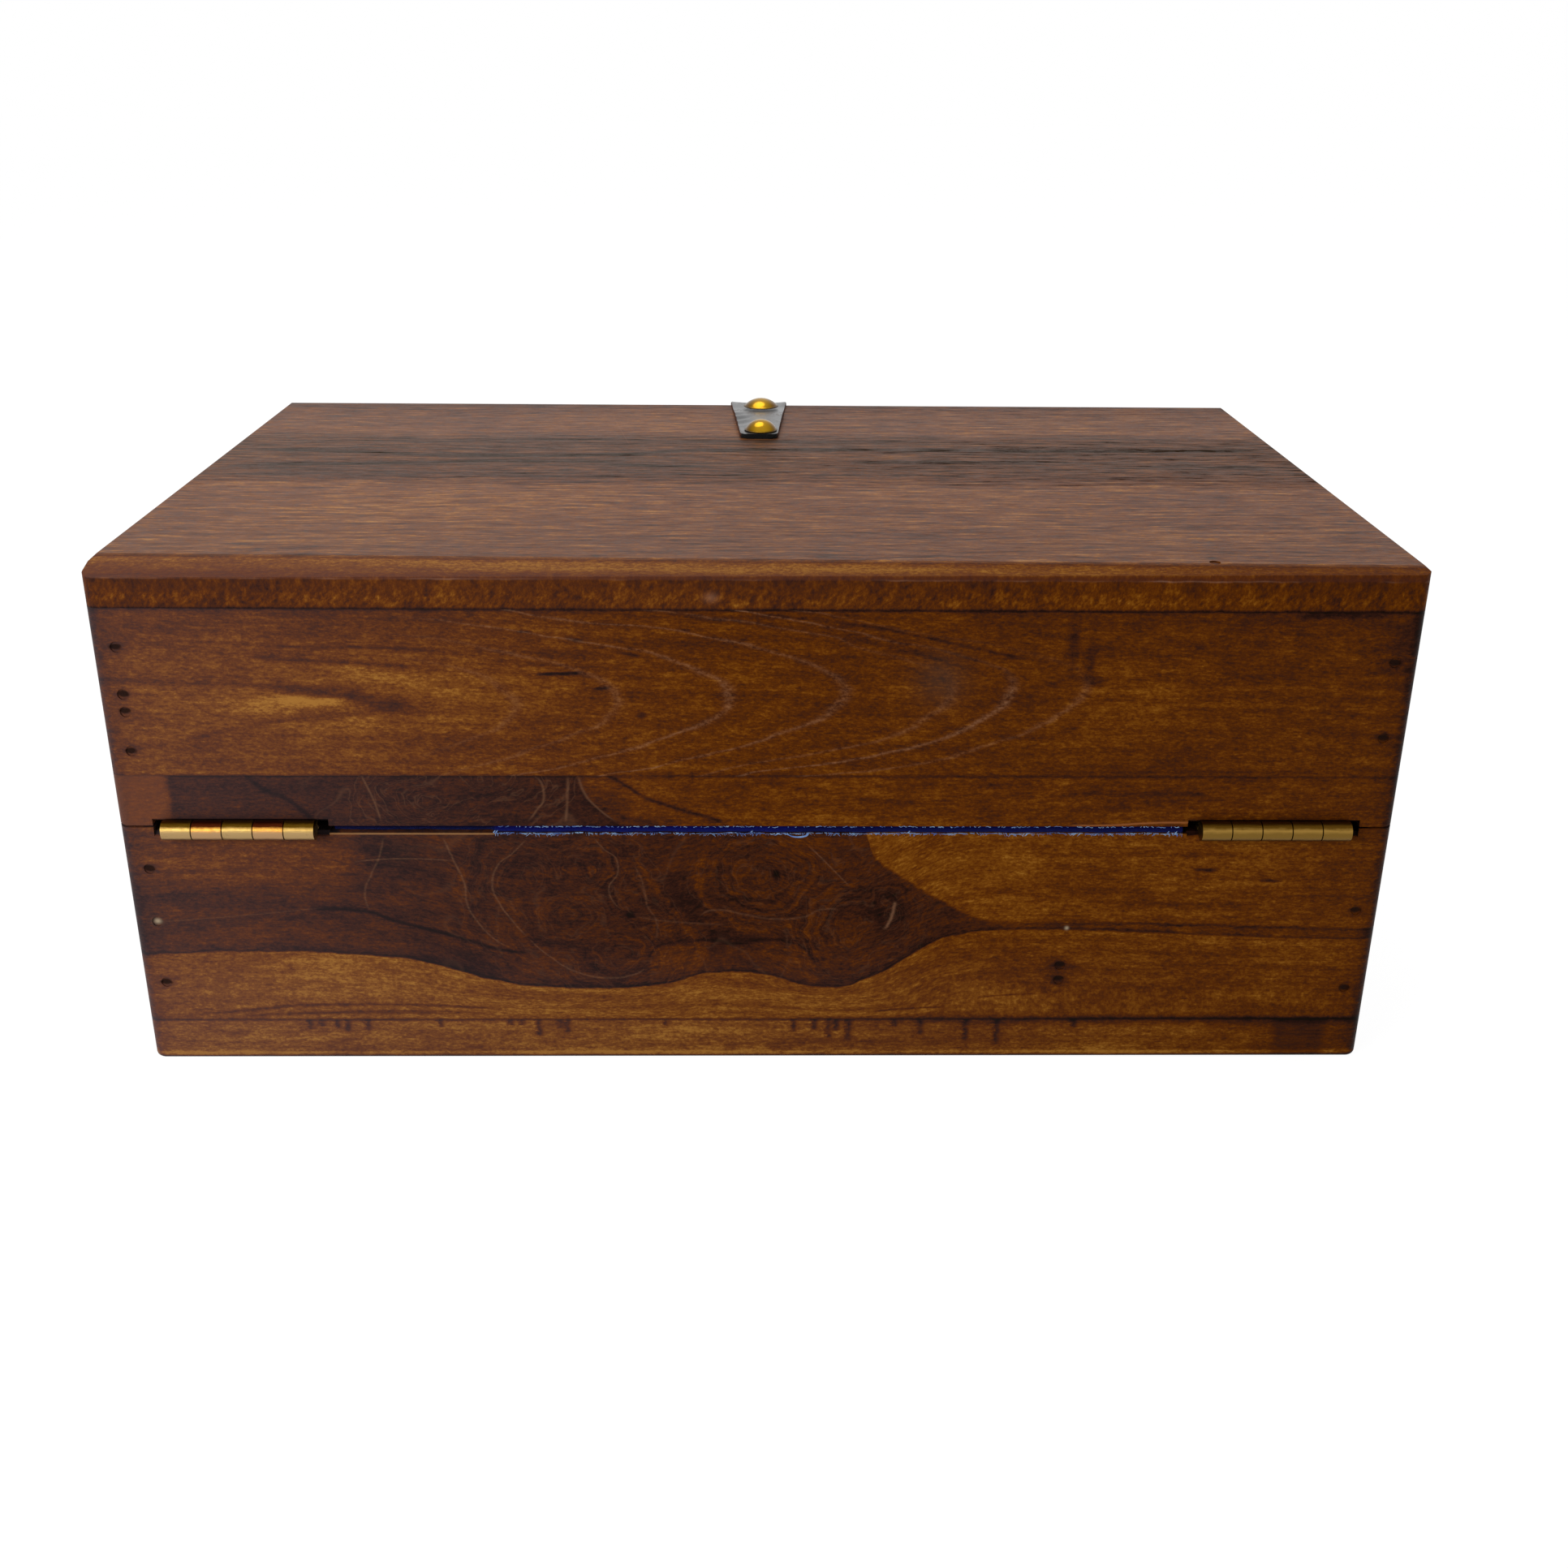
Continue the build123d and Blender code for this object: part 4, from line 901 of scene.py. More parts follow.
def top_wood():
    """Top board: the streaked face, its planed bevel and its sides."""
    shader = Shader("top_wood")
    x, y, z = shader.x, shader.y, shader.z
    sway = y + noise(x / 70, y / 24, 1.0, detail=1.0) * 2.4
    edge_wander = noise(x / 40, y / 5.0, 11.0, detail=4.0) * 7.0
    grain = Grain(shader, x, sway, z / 2)
    wide = noise(x / 75, sway / 2.4, 3.0, detail=4.0, rough=0.65)
    thin = noise(x / 12, sway / 1.7, 6.0, detail=4.0, rough=0.75)
    veins = ridge(noise(x / 55, sway / 4.5, 8.0, detail=2.0), 0.07)
    black = smooth(noise(x / 34, sway / 1.5, 21.0, detail=4.0, rough=0.7), 0.15, 0.9)
    swirl = (
        noise(spot(x, y, (112, -72), (22, 7)) * 5.0, x / 60, y / 60) * 0.10
        - spot(x, y, (110, -76), (8, 2)) * 0.10
        - spot(x, y, (-146, -84), (10, 7)) * 0.08
    )
    dots = total([
        spot(x, y, place, (1.2, 1.2)) for place in ((123, 87), (-156, 56), (40, 92), (-110, 92))
    ])
    drawn = strokes(shader, x, y + grain.mottle * 0.8, TOP_LINES)
    face = (
        curve(y + edge_wander, *TOP_TONES)
        + wide * 0.26
        + thin * 0.52
        + grain.mottle * 0.05
        - veins * within(sway, -48.0, 12.0, 5.0) * 0.24
        - black * (0.12 + within(sway, -50.0, 14.0, 5.0) * 0.40)
        + swirl
        - drawn
        - dots * 0.4
        - smooth(x, -50.0, -140.0) * smooth(y, 20.0, 34.0) * 0.05
        + spot(x, y, (142, 20), (24, 3.2)) * 0.15
    )
    bevel = smooth(z, case_height - 0.02, case_height - 0.5)
    sides = smooth(z, case_height - 2.6, case_height - 3.3)
    chatter = noise(x / 1.4 + z * 0.5, z / 2.0, y / 2, detail=3.0, rough=0.7)
    # Painted shade on the lower part of the bevel
    drop = smooth(z, case_height - 0.3, case_height - 2.8)
    # A painted highlight line along the bevel
    bevel_highlight = ridge(z - (case_height - 1.4), 0.7) * smooth(x, 150.0, 20.0) * smooth(x, -150.0, -60.0)
    start = ridge(z - (case_height - 0.25), 0.25)
    lit = smooth(x, -150.0, 100.0)
    # The bevel: lighter towards the left of the picture by painted light, with the painted highlight and the
    # painted shade
    bevel_value = 0.66 + lit * 0.13 - drop * 0.19 + bevel_highlight * 0.2 - start * 0.16 + grain.texture * 0.8
    lower_edge = ridge(z - (case_height - 8.0), 2.2)
    side_value = 0.535 + chatter * (0.09 + lower_edge * 0.2) + lower_edge * 0.06 + grain.texture
    side_value = side_value - smooth(x, 60.0, 150.0) * 0.06 + within(x, 10.0, 110.0, 15.0) * 0.03
    value = face + (bevel_value - face) * bevel
    value = value + (side_value - value) * sides - joint_line(shader, top_joint)
    worn = ridge(z - (case_height - 3.0) + grain.mottle * 0.25, 0.2) * smooth(grain.streaks, -0.4, 0.5)
    chip = spot(x, z, (12, case_height - 7.4), (1.6, 1.2)) * 0.3
    grey = curve(y + edge_wander, *TOP_GREY) * smooth(z, case_height - 0.5, case_height - 0.02)
    # The top face, which carries the gloss and a pale tint of painted sheen
    top_face = smooth(z, case_height - 0.4, case_height - 0.05)
    scratch = line(x, y, ((51, -92), (44, -54), (37, -18)), 0.3, 3.0) * 0.3
    tints = (
        # Painted sheen on the bevel and sides, stronger towards the left of the picture
        (smooth(x, -120.0, 120.0) * (0.02 + bevel * (1.0 - sides) * 0.06) * (1.0 - top_face), PAINTED_SHEEN),
        (grey * 0.26, (72, 58, 38)),
        # Painted shade, purple-brown, on the lower part of the bevel
        (bevel * (1.0 - sides) * drop * 0.4, (92, 48, 34)),
        # Painted sheen: a pale tint over the top face
        (top_face * 0.06, (150, 112, 92)),
        (worn * 0.45 + chip + scratch, (158, 118, 98)),
    )
    dim = within(y + edge_wander, -48.0, 18.0, 6.0)
    far = smooth(y, -66.0, -100.0) * 0.07
    streaked = thin * 0.14 + wide * 0.08 - black * 0.05 - drawn * 0.1
    gloss = 0.04 + top_face * (0.11 + smooth(x, -160.0, 160.0) * 0.06 + streaked - dim * 0.09 - far)
    return finish_wood(shader, grain, value, tints, gloss=gloss, rough=0.5, shine=(255, 188, 140))


def velvet():
    """Blue cloth with a short pile, rubbed in places, with painted shade in the fold."""
    shader = Shader("blue_cloth")
    pile = noise(shader.x / 0.22, shader.y / 0.22, shader.z / 0.22, detail=2.0)
    rubs = noise(shader.x / 26, shader.y / 18, shader.z / 18, detail=4.0, rough=0.6)
    dark = shader.mix(smooth(pile, -0.9, 0.9), (4, 6, 60), (8, 14, 104))
    worn = shader.mix(smooth(rubs, -0.2, 1.1) * 0.35, dark, (34, 44, 150))
    # Painted shade in the fold: full where the cloth lies short, weaker along the right of the picture
    fold_shade = within(shader.x, FOLD_SHORT_FROM, FOLD_HALF, 1.0) + smooth(shader.x, -6.0, -12.0) * 0.6
    fold_shade = fold_shade * smooth(shader.y, 98.0, 100.0)
    shader.set(
        Base_Color=shader.mix(fold_shade * 0.8, worn, (3, 4, 22)),
        Roughness=0.95,
        Specular_IOR_Level=0.1,
        Sheen_Weight=0.35,
        Sheen_Roughness=0.4,
        Sheen_Tint=linear(90, 110, 220),
    )
    shader.relief(pile * 0.12 + rubs * 0.1)
    return shader.material


def fray():
    """Pale threads worn out of the cloth."""
    shader = Shader("frayed_fibre")
    shade = noise(shader.x / 3, shader.y / 1, shader.z / 1, detail=1.0)
    shader.set(Base_Color=shader.mix(smooth(shade, -0.7, 0.7), (70, 104, 176), (150, 184, 222)))
    shader.set(Roughness=0.9, Sheen_Weight=0.3)
    return shader.material


def leather():
    """Face of the strap: black leather, creased and cracked."""
    shader = Shader("black_leather")
    x, y, z = shader.x, shader.y, shader.z
    pebble = shader.node("ShaderNodeTexVoronoi")
    pebble.inputs["Scale"].default_value = 1 / (0.9 * MM)
    shader.tree.links.new(shader.node("ShaderNodeTexCoord").outputs["Object"], pebble.inputs["Vector"])
    cells = Field(shader, pebble.outputs["Distance"])
    crease = noise(x / 2.4, y / 5.0, z / 5.0, detail=3.0, rough=0.6)
    cracks = ridge(crease, 0.12) * smooth(noise(x / 9, y / 9, z / 9), -0.1, 0.5)
    shader.set(
        Base_Color=shader.mix(cracks * 0.5, (26, 25, 26), (62, 44, 34)),
        Roughness=0.34 + crease * 0.06 + cracks * 0.2,
        Specular_IOR_Level=0.62,
        Coat_Weight=0.35,
        Coat_Roughness=0.28,
    )
    shader.relief(cells * -0.03 + crease * 0.04 - cracks * 0.06)
    return shader.material


def leather_edge():
    """Cut edge of the strap: brown fibres, inked black on the lid."""
    shader = Shader("leather_raw_edge")
    fibre = noise(shader.x / 0.5, shader.y / 2.0, shader.z / 0.5, detail=3.0)
    brown = shader.mix(smooth(fibre, -0.8, 0.8), (40, 22, 16), (86, 48, 34))
    inked = smooth(shader.y, STRAP_END_Y - 2.0, STRAP_END_Y - 1.0)
    shader.set(Base_Color=shader.mix(inked, brown, (9, 8, 8)))
    shader.set(Roughness=0.85, Specular_IOR_Level=0.2)
    shader.relief(fibre * 0.08)
    return shader.material


def brass(name, bright, dull, rough, tarnish):
    """Brass with brighter rubbed parts and dark tarnish in patches."""
    shader = Shader(name)
    x, y, z = shader.x, shader.y, shader.z
    patches = noise(x / 3.0, y / 3.0, z / 3.0, detail=4.0, rough=0.65)
    scratches = noise(x / 5.0, y / 0.16, z / 0.16, detail=1.0)
    dirt = smooth(patches + scratches * 0.2, 0.25, 1.0) * tarnish
    colour = shader.mix(smooth(patches, -0.8, 0.6), bright, dull)
    shader.set(
        Base_Color=shader.mix(dirt, colour, (42, 30, 14)),
        Metallic=1.0,
        Roughness=rough + dirt * 0.25 + scratches * 0.04,
    )
    shader.relief(scratches * 0.004 + patches * 0.012)
    return shader.material


def hinge_metal(name, upper, middle, lower):
    """Brass of a hinge with painted reflection on its barrel: dark on the upper side, a painted highlight
    along the middle, paler below; tarnish in patches.
    """
    shader = Shader(name)
    x, y, z = shader.x, shader.y, shader.z
    patches = noise(x / 3.0, y / 2.0, z / 2.0, detail=4.0, rough=0.65)
    scratches = noise(x / 5.0, y / 0.16, z / 0.16, detail=1.0)
    # Painted reflection round the barrel: pale below, a painted highlight along the middle, dark above
    rise = (z - hinge_axis.z) * 0.19 + 0.5 + patches * 0.05 + scratches * 0.03
    stops = ((0.0, lower), (0.55, lower), (0.70, middle), (0.83, upper), (1.0, upper))
    barrel_reflection = shader.ramp(rise, stops)
    flat = shader.mix(smooth(patches, -0.8, 0.6), (140, 112, 56), (104, 80, 34))
    on_barrel = smooth(y, hinge_axis.y - 3.4, hinge_axis.y - 2.6)
    dirt = smooth(patches + scratches * 0.3, 0.35, 1.1) * 0.6
    colour = shader.mix(on_barrel, flat, barrel_reflection)
    shader.set(
        Base_Color=shader.mix(dirt, colour, (48, 34, 14)),
        Metallic=1.0,
        Roughness=0.36 + dirt * 0.25 + scratches * 0.05,
    )
    shader.relief(scratches * 0.006 + patches * 0.03)
    return shader.material


def tack_metal():
    """Domed brass with painted shade towards its sides, and dirt and painted shade in the groove round its
    foot.
    """
    shader = Shader("tack_brass")
    x, y, z = shader.x, shader.y, shader.z
    patches = noise(x / 2.0, y / 2.0, z / 2.0, detail=4.0, rough=0.65)
    # Painted shade: the dome darker towards its sides
    aside = shader.math("ABSOLUTE", x + 0.7) + patches * 0.5
    # Dirt and painted shade in the groove round the foot
    foot = smooth(z + patches * 0.1, case_height + STRAP_THICK + 0.8, case_height + STRAP_THICK + 0.2)
    shaded_gold = shader.mix(smooth(aside, 0.6, 5.0), (166, 126, 26), (92, 62, 6))
    shader.set(
        Base_Color=shader.mix(foot * 0.85, shaded_gold, (30, 18, 6)),
        Metallic=1.0,
        Roughness=0.2 + foot * 0.3 + patches * 0.04,
    )
    shader.relief(patches * 0.012)
    return shader.material


def assign(material, *names):
    """Gives CAD nodes a material."""
    for name in names:
        slots = nodes[name].data.materials
        slots.clear()
        slots.append(material)


def new_piece(name, points, faces, *materials):
    """A mesh piece from points in millimetres."""
    mesh = bpy.data.meshes.new(name)
    mesh.from_pydata([Vector(point) * MM for point in points], [], faces)
    for material in materials:
        mesh.materials.append(material)
    piece = bpy.data.objects.new(name, mesh)
    bpy.context.scene.collection.objects.link(piece)
    return piece


def smooth_shading(piece, sharp):
    """Smooth shading, broken at edges sharper than this angle in degrees."""
    for face in piece.data.polygons:
        face.use_smooth = True
    piece.data.set_sharp_from_angle(angle=math.radians(sharp))


def close_tube(rings, ring_size):
    """Faces of a closed tube through rings of points, one after another, with its two end faces."""
    faces = []
    for row in range(rings - 1):
        for step in range(ring_size):
            after = (step + 1) % ring_size
            base = row * ring_size
            faces.append((base + step, base + after, base + ring_size + after, base + ring_size + step))
    faces.append(tuple(reversed(range(ring_size))))
    faces.append(tuple(range((rings - 1) * ring_size, rings * ring_size)))
    return faces


def circle(radius, steps):
    """Points (across, up) round a circle."""
    angles = [2 * math.pi * step / steps for step in range(steps)]
    return [(radius * math.cos(angle), radius * math.sin(angle)) for angle in angles]


def turn_profile(name, profile, centre, material):
    """A round piece turned about an upright axis from (radius, height) points, closed at both ends."""
    steps = 56
    points = []
    for radius, height in profile:
        points += [(centre[0] + a, centre[1] + b, centre[2] + height) for a, b in circle(radius, steps)]
    piece = new_piece(name, points, close_tube(len(profile), steps), material)
    smooth_shading(piece, 50.0)
    return piece


def rim_point(along, level):
    """Point (y, z) at a distance along the slope from the hinge axis, at a level across the cut."""
    y = hinge_axis.y - along * math.cos(SLOPE) + level * math.sin(SLOPE)
    z = hinge_axis.z + along * math.sin(SLOPE) + level * math.cos(SLOPE)
    return (y, z)


def make_tacks(material):
    """Two domed tacks, each with a thin rolled rim."""
    foot = 0.1
    axis = 0.0001
    top = case_height + STRAP_THICK
    for number, (x, y, radius, height) in enumerate(TACKS):
        dome = radius - 0.35
        ball = (dome**2 + (height - 0.5) ** 2) / (2 * (height - 0.5))
        reach = math.asin(dome / ball)
        profile = [(axis, foot), (radius - 0.5, foot), (radius - 0.1, 0.18)]
        profile += [(radius, 0.34), (radius - 0.12, 0.48)]
        for step in range(15):
            angle = reach * (1 - step / 14)
            profile.append((max(ball * math.sin(angle), axis), height - ball + ball * math.cos(angle)))
        piece = turn_profile(f"tack_{number + 1}", profile, (x, y, top), material)
        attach(piece, "lid")
        if number == 0:
            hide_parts("strap_tacks")


def strap_place(along):
    """Middle of the strap's thickness and the direction out of its face, at a distance along it."""
    if along <= to_bend:
        return (STRAP_END_Y - along, middle_z), (0.0, 1.0)
    if along <= round_bend:
        angle = (along - to_bend) / STRAP_BEND_RADIUS
        out = (-math.sin(angle), math.cos(angle))
        centre_z = middle_z - STRAP_BEND_RADIUS
        return (bend_y + STRAP_BEND_RADIUS * out[0], centre_z + STRAP_BEND_RADIUS * out[1]), out
    drop = along - round_bend
    start = (strap_pivot.y, middle_z - STRAP_BEND_RADIUS)
    if along <= to_pivot:
        return (start[0], start[1] - drop), (-1.0, 0.0)
    tail = along - to_pivot
    out = (-math.cos(STRAP_LEAN), math.sin(STRAP_LEAN))
    return (strap_pivot.y - tail * math.sin(STRAP_LEAN), strap_pivot.z - tail * math.cos(STRAP_LEAN)), out


def strap_half_width(along):
    """Half the strap's width, with rounded corners at both ends."""
    wide_from = STRAP_END_Y + half_depth
    if along < wide_from:
        half = STRAP_END_WIDTH / 2 + (STRAP_WIDTH - STRAP_END_WIDTH) / 2 * along / wide_from
    elif along < to_pivot:
        half = STRAP_WIDTH / 2
    else:
        share = (along - to_pivot) / (strap_length - to_pivot)
        half = (STRAP_WIDTH + (STRAP_TIP_WIDTH - STRAP_WIDTH) * share) / 2
    for rounding, gone in ((STRAP_END_RADIUS, along), (STRAP_TIP_RADIUS, strap_length - along)):
        if gone < rounding:
            half -= rounding - math.sqrt(max(rounding**2 - (rounding - gone) ** 2, 0.0))
    return half


def strap_section(half):
    """Points (across, out) round the strap's section, with rounded edges."""
    edge = 0.4
    top = STRAP_THICK / 2
    columns = 22
    across = [(half - edge) * (2 * column / columns - 1) for column in range(columns + 1)]
    corner = [(half - edge * 0.3, top - edge * 0.3), (half, top - edge)]
    right = corner + [(place, -out) for place, out in reversed(corner)]
    left = [(-place, out) for place, out in reversed(right)]
    return [(place, top) for place in across] + right + [(place, -top) for place in reversed(across)] + left


def strap_cutter(name, outline):
    """A block that stands through the flat strap, from its outline (across, along)."""
    points = [(across, along, out) for out in (-3.0, 3.0) for across, along in outline]
    return new_piece(name, points, close_tube(2, len(outline)))


def flat_strap(materials):
    """The strap laid flat: across is X, along is Y, and out of its face is Z."""
    rows = [0.02, 0.15, 0.5, 1.0, 1.5]
    rows += [2.0 + step * 0.8 for step in range(int((strap_length - 7.2) / 0.8))]
    rows += [strap_length - gone for gone in (5.0, 4.2, 3.4, 2.6, 1.8, 1.2, 0.7, 0.3, 0.08)]
    points = []
    for along in rows:
        section = strap_section(strap_half_width(along))
        points += [(across, along, out) for across, out in section]
    strap = new_piece("strap", points, close_tube(len(rows), len(section)), *materials)
    hole = [(across, to_hole + along) for across, along in circle(BUTTONHOLE_RADIUS, 40)]
    near, far = to_hole + BUTTONHOLE_RADIUS - 0.6, to_hole + BUTTONHOLE_SLIT * 1.5
    half = SLIT_WIDTH / 2
    slit = [(-half, near), (half, near), (half, far), (-half, far)]
    tools = [strap_cutter("cutter", hole), strap_cutter("slit", slit)]
    for tool in tools:
        cut = strap.modifiers.new("cut", "BOOLEAN")
        cut.operation = "DIFFERENCE"
        cut.object = tool
    bpy.context.view_layer.update()
    graph = bpy.context.evaluated_depsgraph_get()
    mesh = bpy.data.meshes.new_from_object(strap.evaluated_get(graph))
    strap.modifiers.clear()
    strap.data = mesh
    for tool in tools:
        bpy.data.objects.remove(tool)
    return strap


def make_strap(face, raw_edge):
    """One leather strap: tacked on the lid, bent over its front edge, with a buttonhole in its tail."""
    strap = flat_strap((face, raw_edge))
    mesh = strap.data
    for polygon in mesh.polygons:
        polygon.material_index = 0 if abs(polygon.normal.z) > 0.55 else 1
    between = (TACKS[0][1] + TACKS[1][1]) / 2
    for vertex in mesh.vertices:
        across, along, out = vertex.co / MM
        (y, z), (out_y, out_z) = strap_place(along)
        half = strap_half_width(along)
        share = abs(across) / max(half, 1.0)
        ears = EAR_RISE * share**3 * math.exp(-(((along - to_bend + 1.0) / 5.0) ** 2))
        near_tacks = math.exp(-(((y - between) / 12.0) ** 2))
        puckers = PUCKER_RISE * math.sin(along * 0.8 + across * 0.8) * near_tacks
        puckers *= min(max(across - 1.0, 0.0) / (half - 3.0), 1.0)
        thinned = min(max((along - THINNED_FROM) / THINNED_OVER, 0.0), 1.0)
        if out > 0:
            out -= (STRAP_THICK - STRAP_THIN) * thinned * thinned * (3 - 2 * thinned)
        curl = EDGE_CURL * share**2 * max(0.0, math.sin(math.pi * min(along / to_bend, 1.0)))
        on_tail = max(along - to_pivot, 0.0) / (strap_length - to_pivot)
        curl += TAIL_BULGE * math.sin(math.pi * on_tail) ** 2
        lift = out + ears + puckers + curl
        vertex.co = Vector((across, y + lift * out_y, z + lift * out_z)) * MM
    smooth_shading(strap, 35.0)
    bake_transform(strap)
    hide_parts("strap_anchor", "strap_tail")


def fold_depth(x):
    """How far in the cloth's fold lies, along the slope from the hinge axis, with its frayed waves."""
    depth = FOLD_ALONG + 0.12 * math.sin(x * 0.31) + 0.08 * math.sin(x * 0.83 + 1.0)
    if x > FOLD_SHORT_FROM:
        depth += FOLD_SHORT_BY * min((x - FOLD_SHORT_FROM) / 1.2, 1.0)
    return depth


def cloth_line(x):
    """Middle line (along, level) of the cloth, from the base's rail round the fold to the lid's rail."""
    turn_start = fold_depth(x) + CLOTH / 2 + FOLD_RADIUS
    lower = [
        (CLOTH_RAIL_END + (turn_start - CLOTH_RAIL_END) * step / RAIL_STEPS, BASE_CLOTH_LEVEL)
        for step in range(RAIL_STEPS + 1)
    ]
    middle = (BASE_CLOTH_LEVEL + LID_CLOTH_LEVEL) / 2
    half = (LID_CLOTH_LEVEL - BASE_CLOTH_LEVEL) / 2
    turn = []
    for step in range(1, FOLD_STEPS):
        angle = math.pi * step / FOLD_STEPS
        turn.append((turn_start - FOLD_RADIUS * math.sin(angle), middle - half * math.cos(angle)))
    upper = [(along, LID_CLOTH_LEVEL) for along, level in reversed(lower)]
    return lower + turn + upper


def make_hinge_cloth(material, fibre_material):
    """Cloth glued over both rails and folded in the saw cut between the hinges."""
    points = []
    columns = 180
    for column in range(columns + 1):
        x = FOLD_HALF * (2 * column / columns - 1)
        middle_line = cloth_line(x)
        outer = []
        inner = []
        for number, (along, level) in enumerate(middle_line):
            before = middle_line[max(number - 1, 0)]
            after = middle_line[min(number + 1, len(middle_line) - 1)]
            run = (after[0] - before[0], after[1] - before[1])
            length = math.hypot(*run)
            normal = (run[1] / length, -run[0] / length)
            outer.append((along - normal[0] * CLOTH / 2, level - normal[1] * CLOTH / 2))
            in_fold = RAIL_STEPS < number < RAIL_STEPS + FOLD_STEPS
            thick = CLOTH / 2 * (FOLD_INNER_SHARE if in_fold else 1.0)
            inner.append((along + normal[0] * thick, level + normal[1] * thick))
        ring = outer + inner[::-1]
        points += [(x, *rim_point(along, level)) for along, level in ring]
    cloth = new_piece("hinge_cloth", points, close_tube(columns + 1, len(ring)), material)
    smooth_shading(cloth, 60.0)
    make_rail_cloths(material)
    rng = random.Random(4)
    threads = [make_fray(body, rng, fibre_material) for body in ("base", "lid")]
    start, end = [
        (0, *[part * MM for part in rim_point(2.0, level)]) for level in (BASE_CLOTH_LEVEL, LID_CLOTH_LEVEL)
    ]
    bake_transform(cloth)
    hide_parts("base_rim_cloth", "lid_rim_cloth")


def make_rail_cloths(material):
    """The cloth on the rails beside the hinges, where it isn't folded."""
    start, end, half = CLOTH_RAIL_START, CLOTH_RAIL_END, CLOTH / 2
    corners = ((start, -half), (end, -half), (end, half), (start, half))
    steps = 8
    for side, side_name in ((-1, "left"), (1, "right")):
        for body, level in (("base", BASE_CLOTH_LEVEL), ("lid", LID_CLOTH_LEVEL)):
            points = []
            for step in range(steps + 1):
                x = side * (FOLD_HALF + (CLOTH_HALF - FOLD_HALF) * step / steps)
                points += [(x, *rim_point(along, level + out)) for along, out in corners]
            tab = new_piece(f"{body}_rail_cloth_{side_name}", points, close_tube(steps + 1, 4), material)
            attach(tab, body)


def add_thread(points, faces, path, radius):
    """A thin three-sided tube along a path, open at its ends."""
    start = len(points)
    for place, point in enumerate(path):
        size = radius * (1.0 - 0.6 * place / (len(path) - 1))
        points += [point + Vector((across, size * 0.5, up)) for across, up in circle(size, 3)]
    faces += [[start + corner for corner in face] for face in close_tube(len(path), 3)[:-2]]


def make_fray(body, rng, material):
    """Loose fibres along one edge of the fold, and on the base some tufts and one small loop of thread."""
    points = []
    faces = []
    below = body == "base"
    level = BASE_CLOTH_LEVEL - CLOTH / 2 + 0.1 if below else LID_CLOTH_LEVEL + CLOTH / 2 - 0.1
    fall = 1.0 if below else -0.35
    x = FOLD_SHORT_FROM if below else FOLD_HALF
    while x > -FOLD_HALF:
        clump = 0.5 + 0.5 * math.sin(x * 0.21) * math.sin(x * 0.057 + 1.3)
        y, z = rim_point(fold_depth(x) + 0.1, level)
        run = rng.uniform(-1.6, 1.6)
        sag = rng.uniform(0.1, 0.4 + 0.5 * clump) * fall
        path = []
        for share in (0.0, 0.25, 0.5, 0.75, 1.0):
            drop = sag * share**2 - 0.12 * math.sin(share * 5 + x)
            path.append(Vector((x + run * share, y + 0.15 + 0.25 * share, z - drop)))
        add_thread(points, faces, path, rng.uniform(*THREAD_RADII))
        x -= rng.uniform(0.25, 0.9 - 0.5 * clump) if below else rng.uniform(0.5, 3.0 - 1.6 * clump)
    if below:
        add_tufts(points, faces)
    threads = new_piece(f"{body}_frayed_threads", points, faces, material)
    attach(threads, body)
    return threads


def add_tufts(points, faces):
    """Hanging tufts along the fold, and the loop of thread."""
    for x in TUFT_PLACES:
        y, z = rim_point(fold_depth(x), -1.0)
        path = [
            Vector((x + 0.4 * math.sin(share * 6), y + 0.2 + 0.4 * share, z - 1.3 * share))
            for share in (0.0, 0.3, 0.6, 1.0)
        ]
        add_thread(points, faces, path, TUFT_RADIUS)
    y, z = rim_point(fold_depth(LOOP_X), BASE_CLOTH_LEVEL)
    loop = []
    for step in range(13):
        angle = math.pi * step / 12
        across = LOOP_HALF_WIDTH * math.cos(angle)
        loop.append(Vector((LOOP_X - across, y + 0.35, z - 0.1 - LOOP_DROP * math.sin(angle))))
    add_thread(points, faces, loop, LOOP_RADIUS)


def make_flap_cloth(part, level, end, material):
    """Cloth glued on the flap of the base or the lid, with a finger notch cut in its free edge."""
    name = f"{part}_flap_cloth"
    half = box_mm(name)[1].x
    columns = 96
    rows = 40
    points = []
    for column in range(columns + 1):
        x = half * (2 * column / columns - 1)
        reach = end - math.sqrt(max(NOTCH_RADIUS**2 - x**2, 0.0))
        upper = []
        lower = []
        for row in range(rows + 1):
            share = row / rows
            along = FLAP_CLOTH_START + (reach - FLAP_CLOTH_START) * share
            edge = min(share, 1 - share, (1 - abs(x) / half) * 3, 0.02) / 0.02
            swell = math.sin(x * 0.05) * math.sin(along * 0.07) * 0.027
            rise = CLOTH - 0.25 * (1 - edge) ** 2 - 0.03 + swell
            high, low = (rise, 0.0) if part == "base" else (CLOTH, CLOTH - rise)
            upper.append((x, *rim_point(along, level + high)))
            lower.append((x, *rim_point(along, level + low)))
        points += upper + lower[::-1]
    piece = new_piece(f"{name}_nap", points, close_tube(columns + 1, 2 * (rows + 1)), material)
    smooth_shading(piece, 60.0)
    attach(piece, f"{part}_flap")
    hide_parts(name)


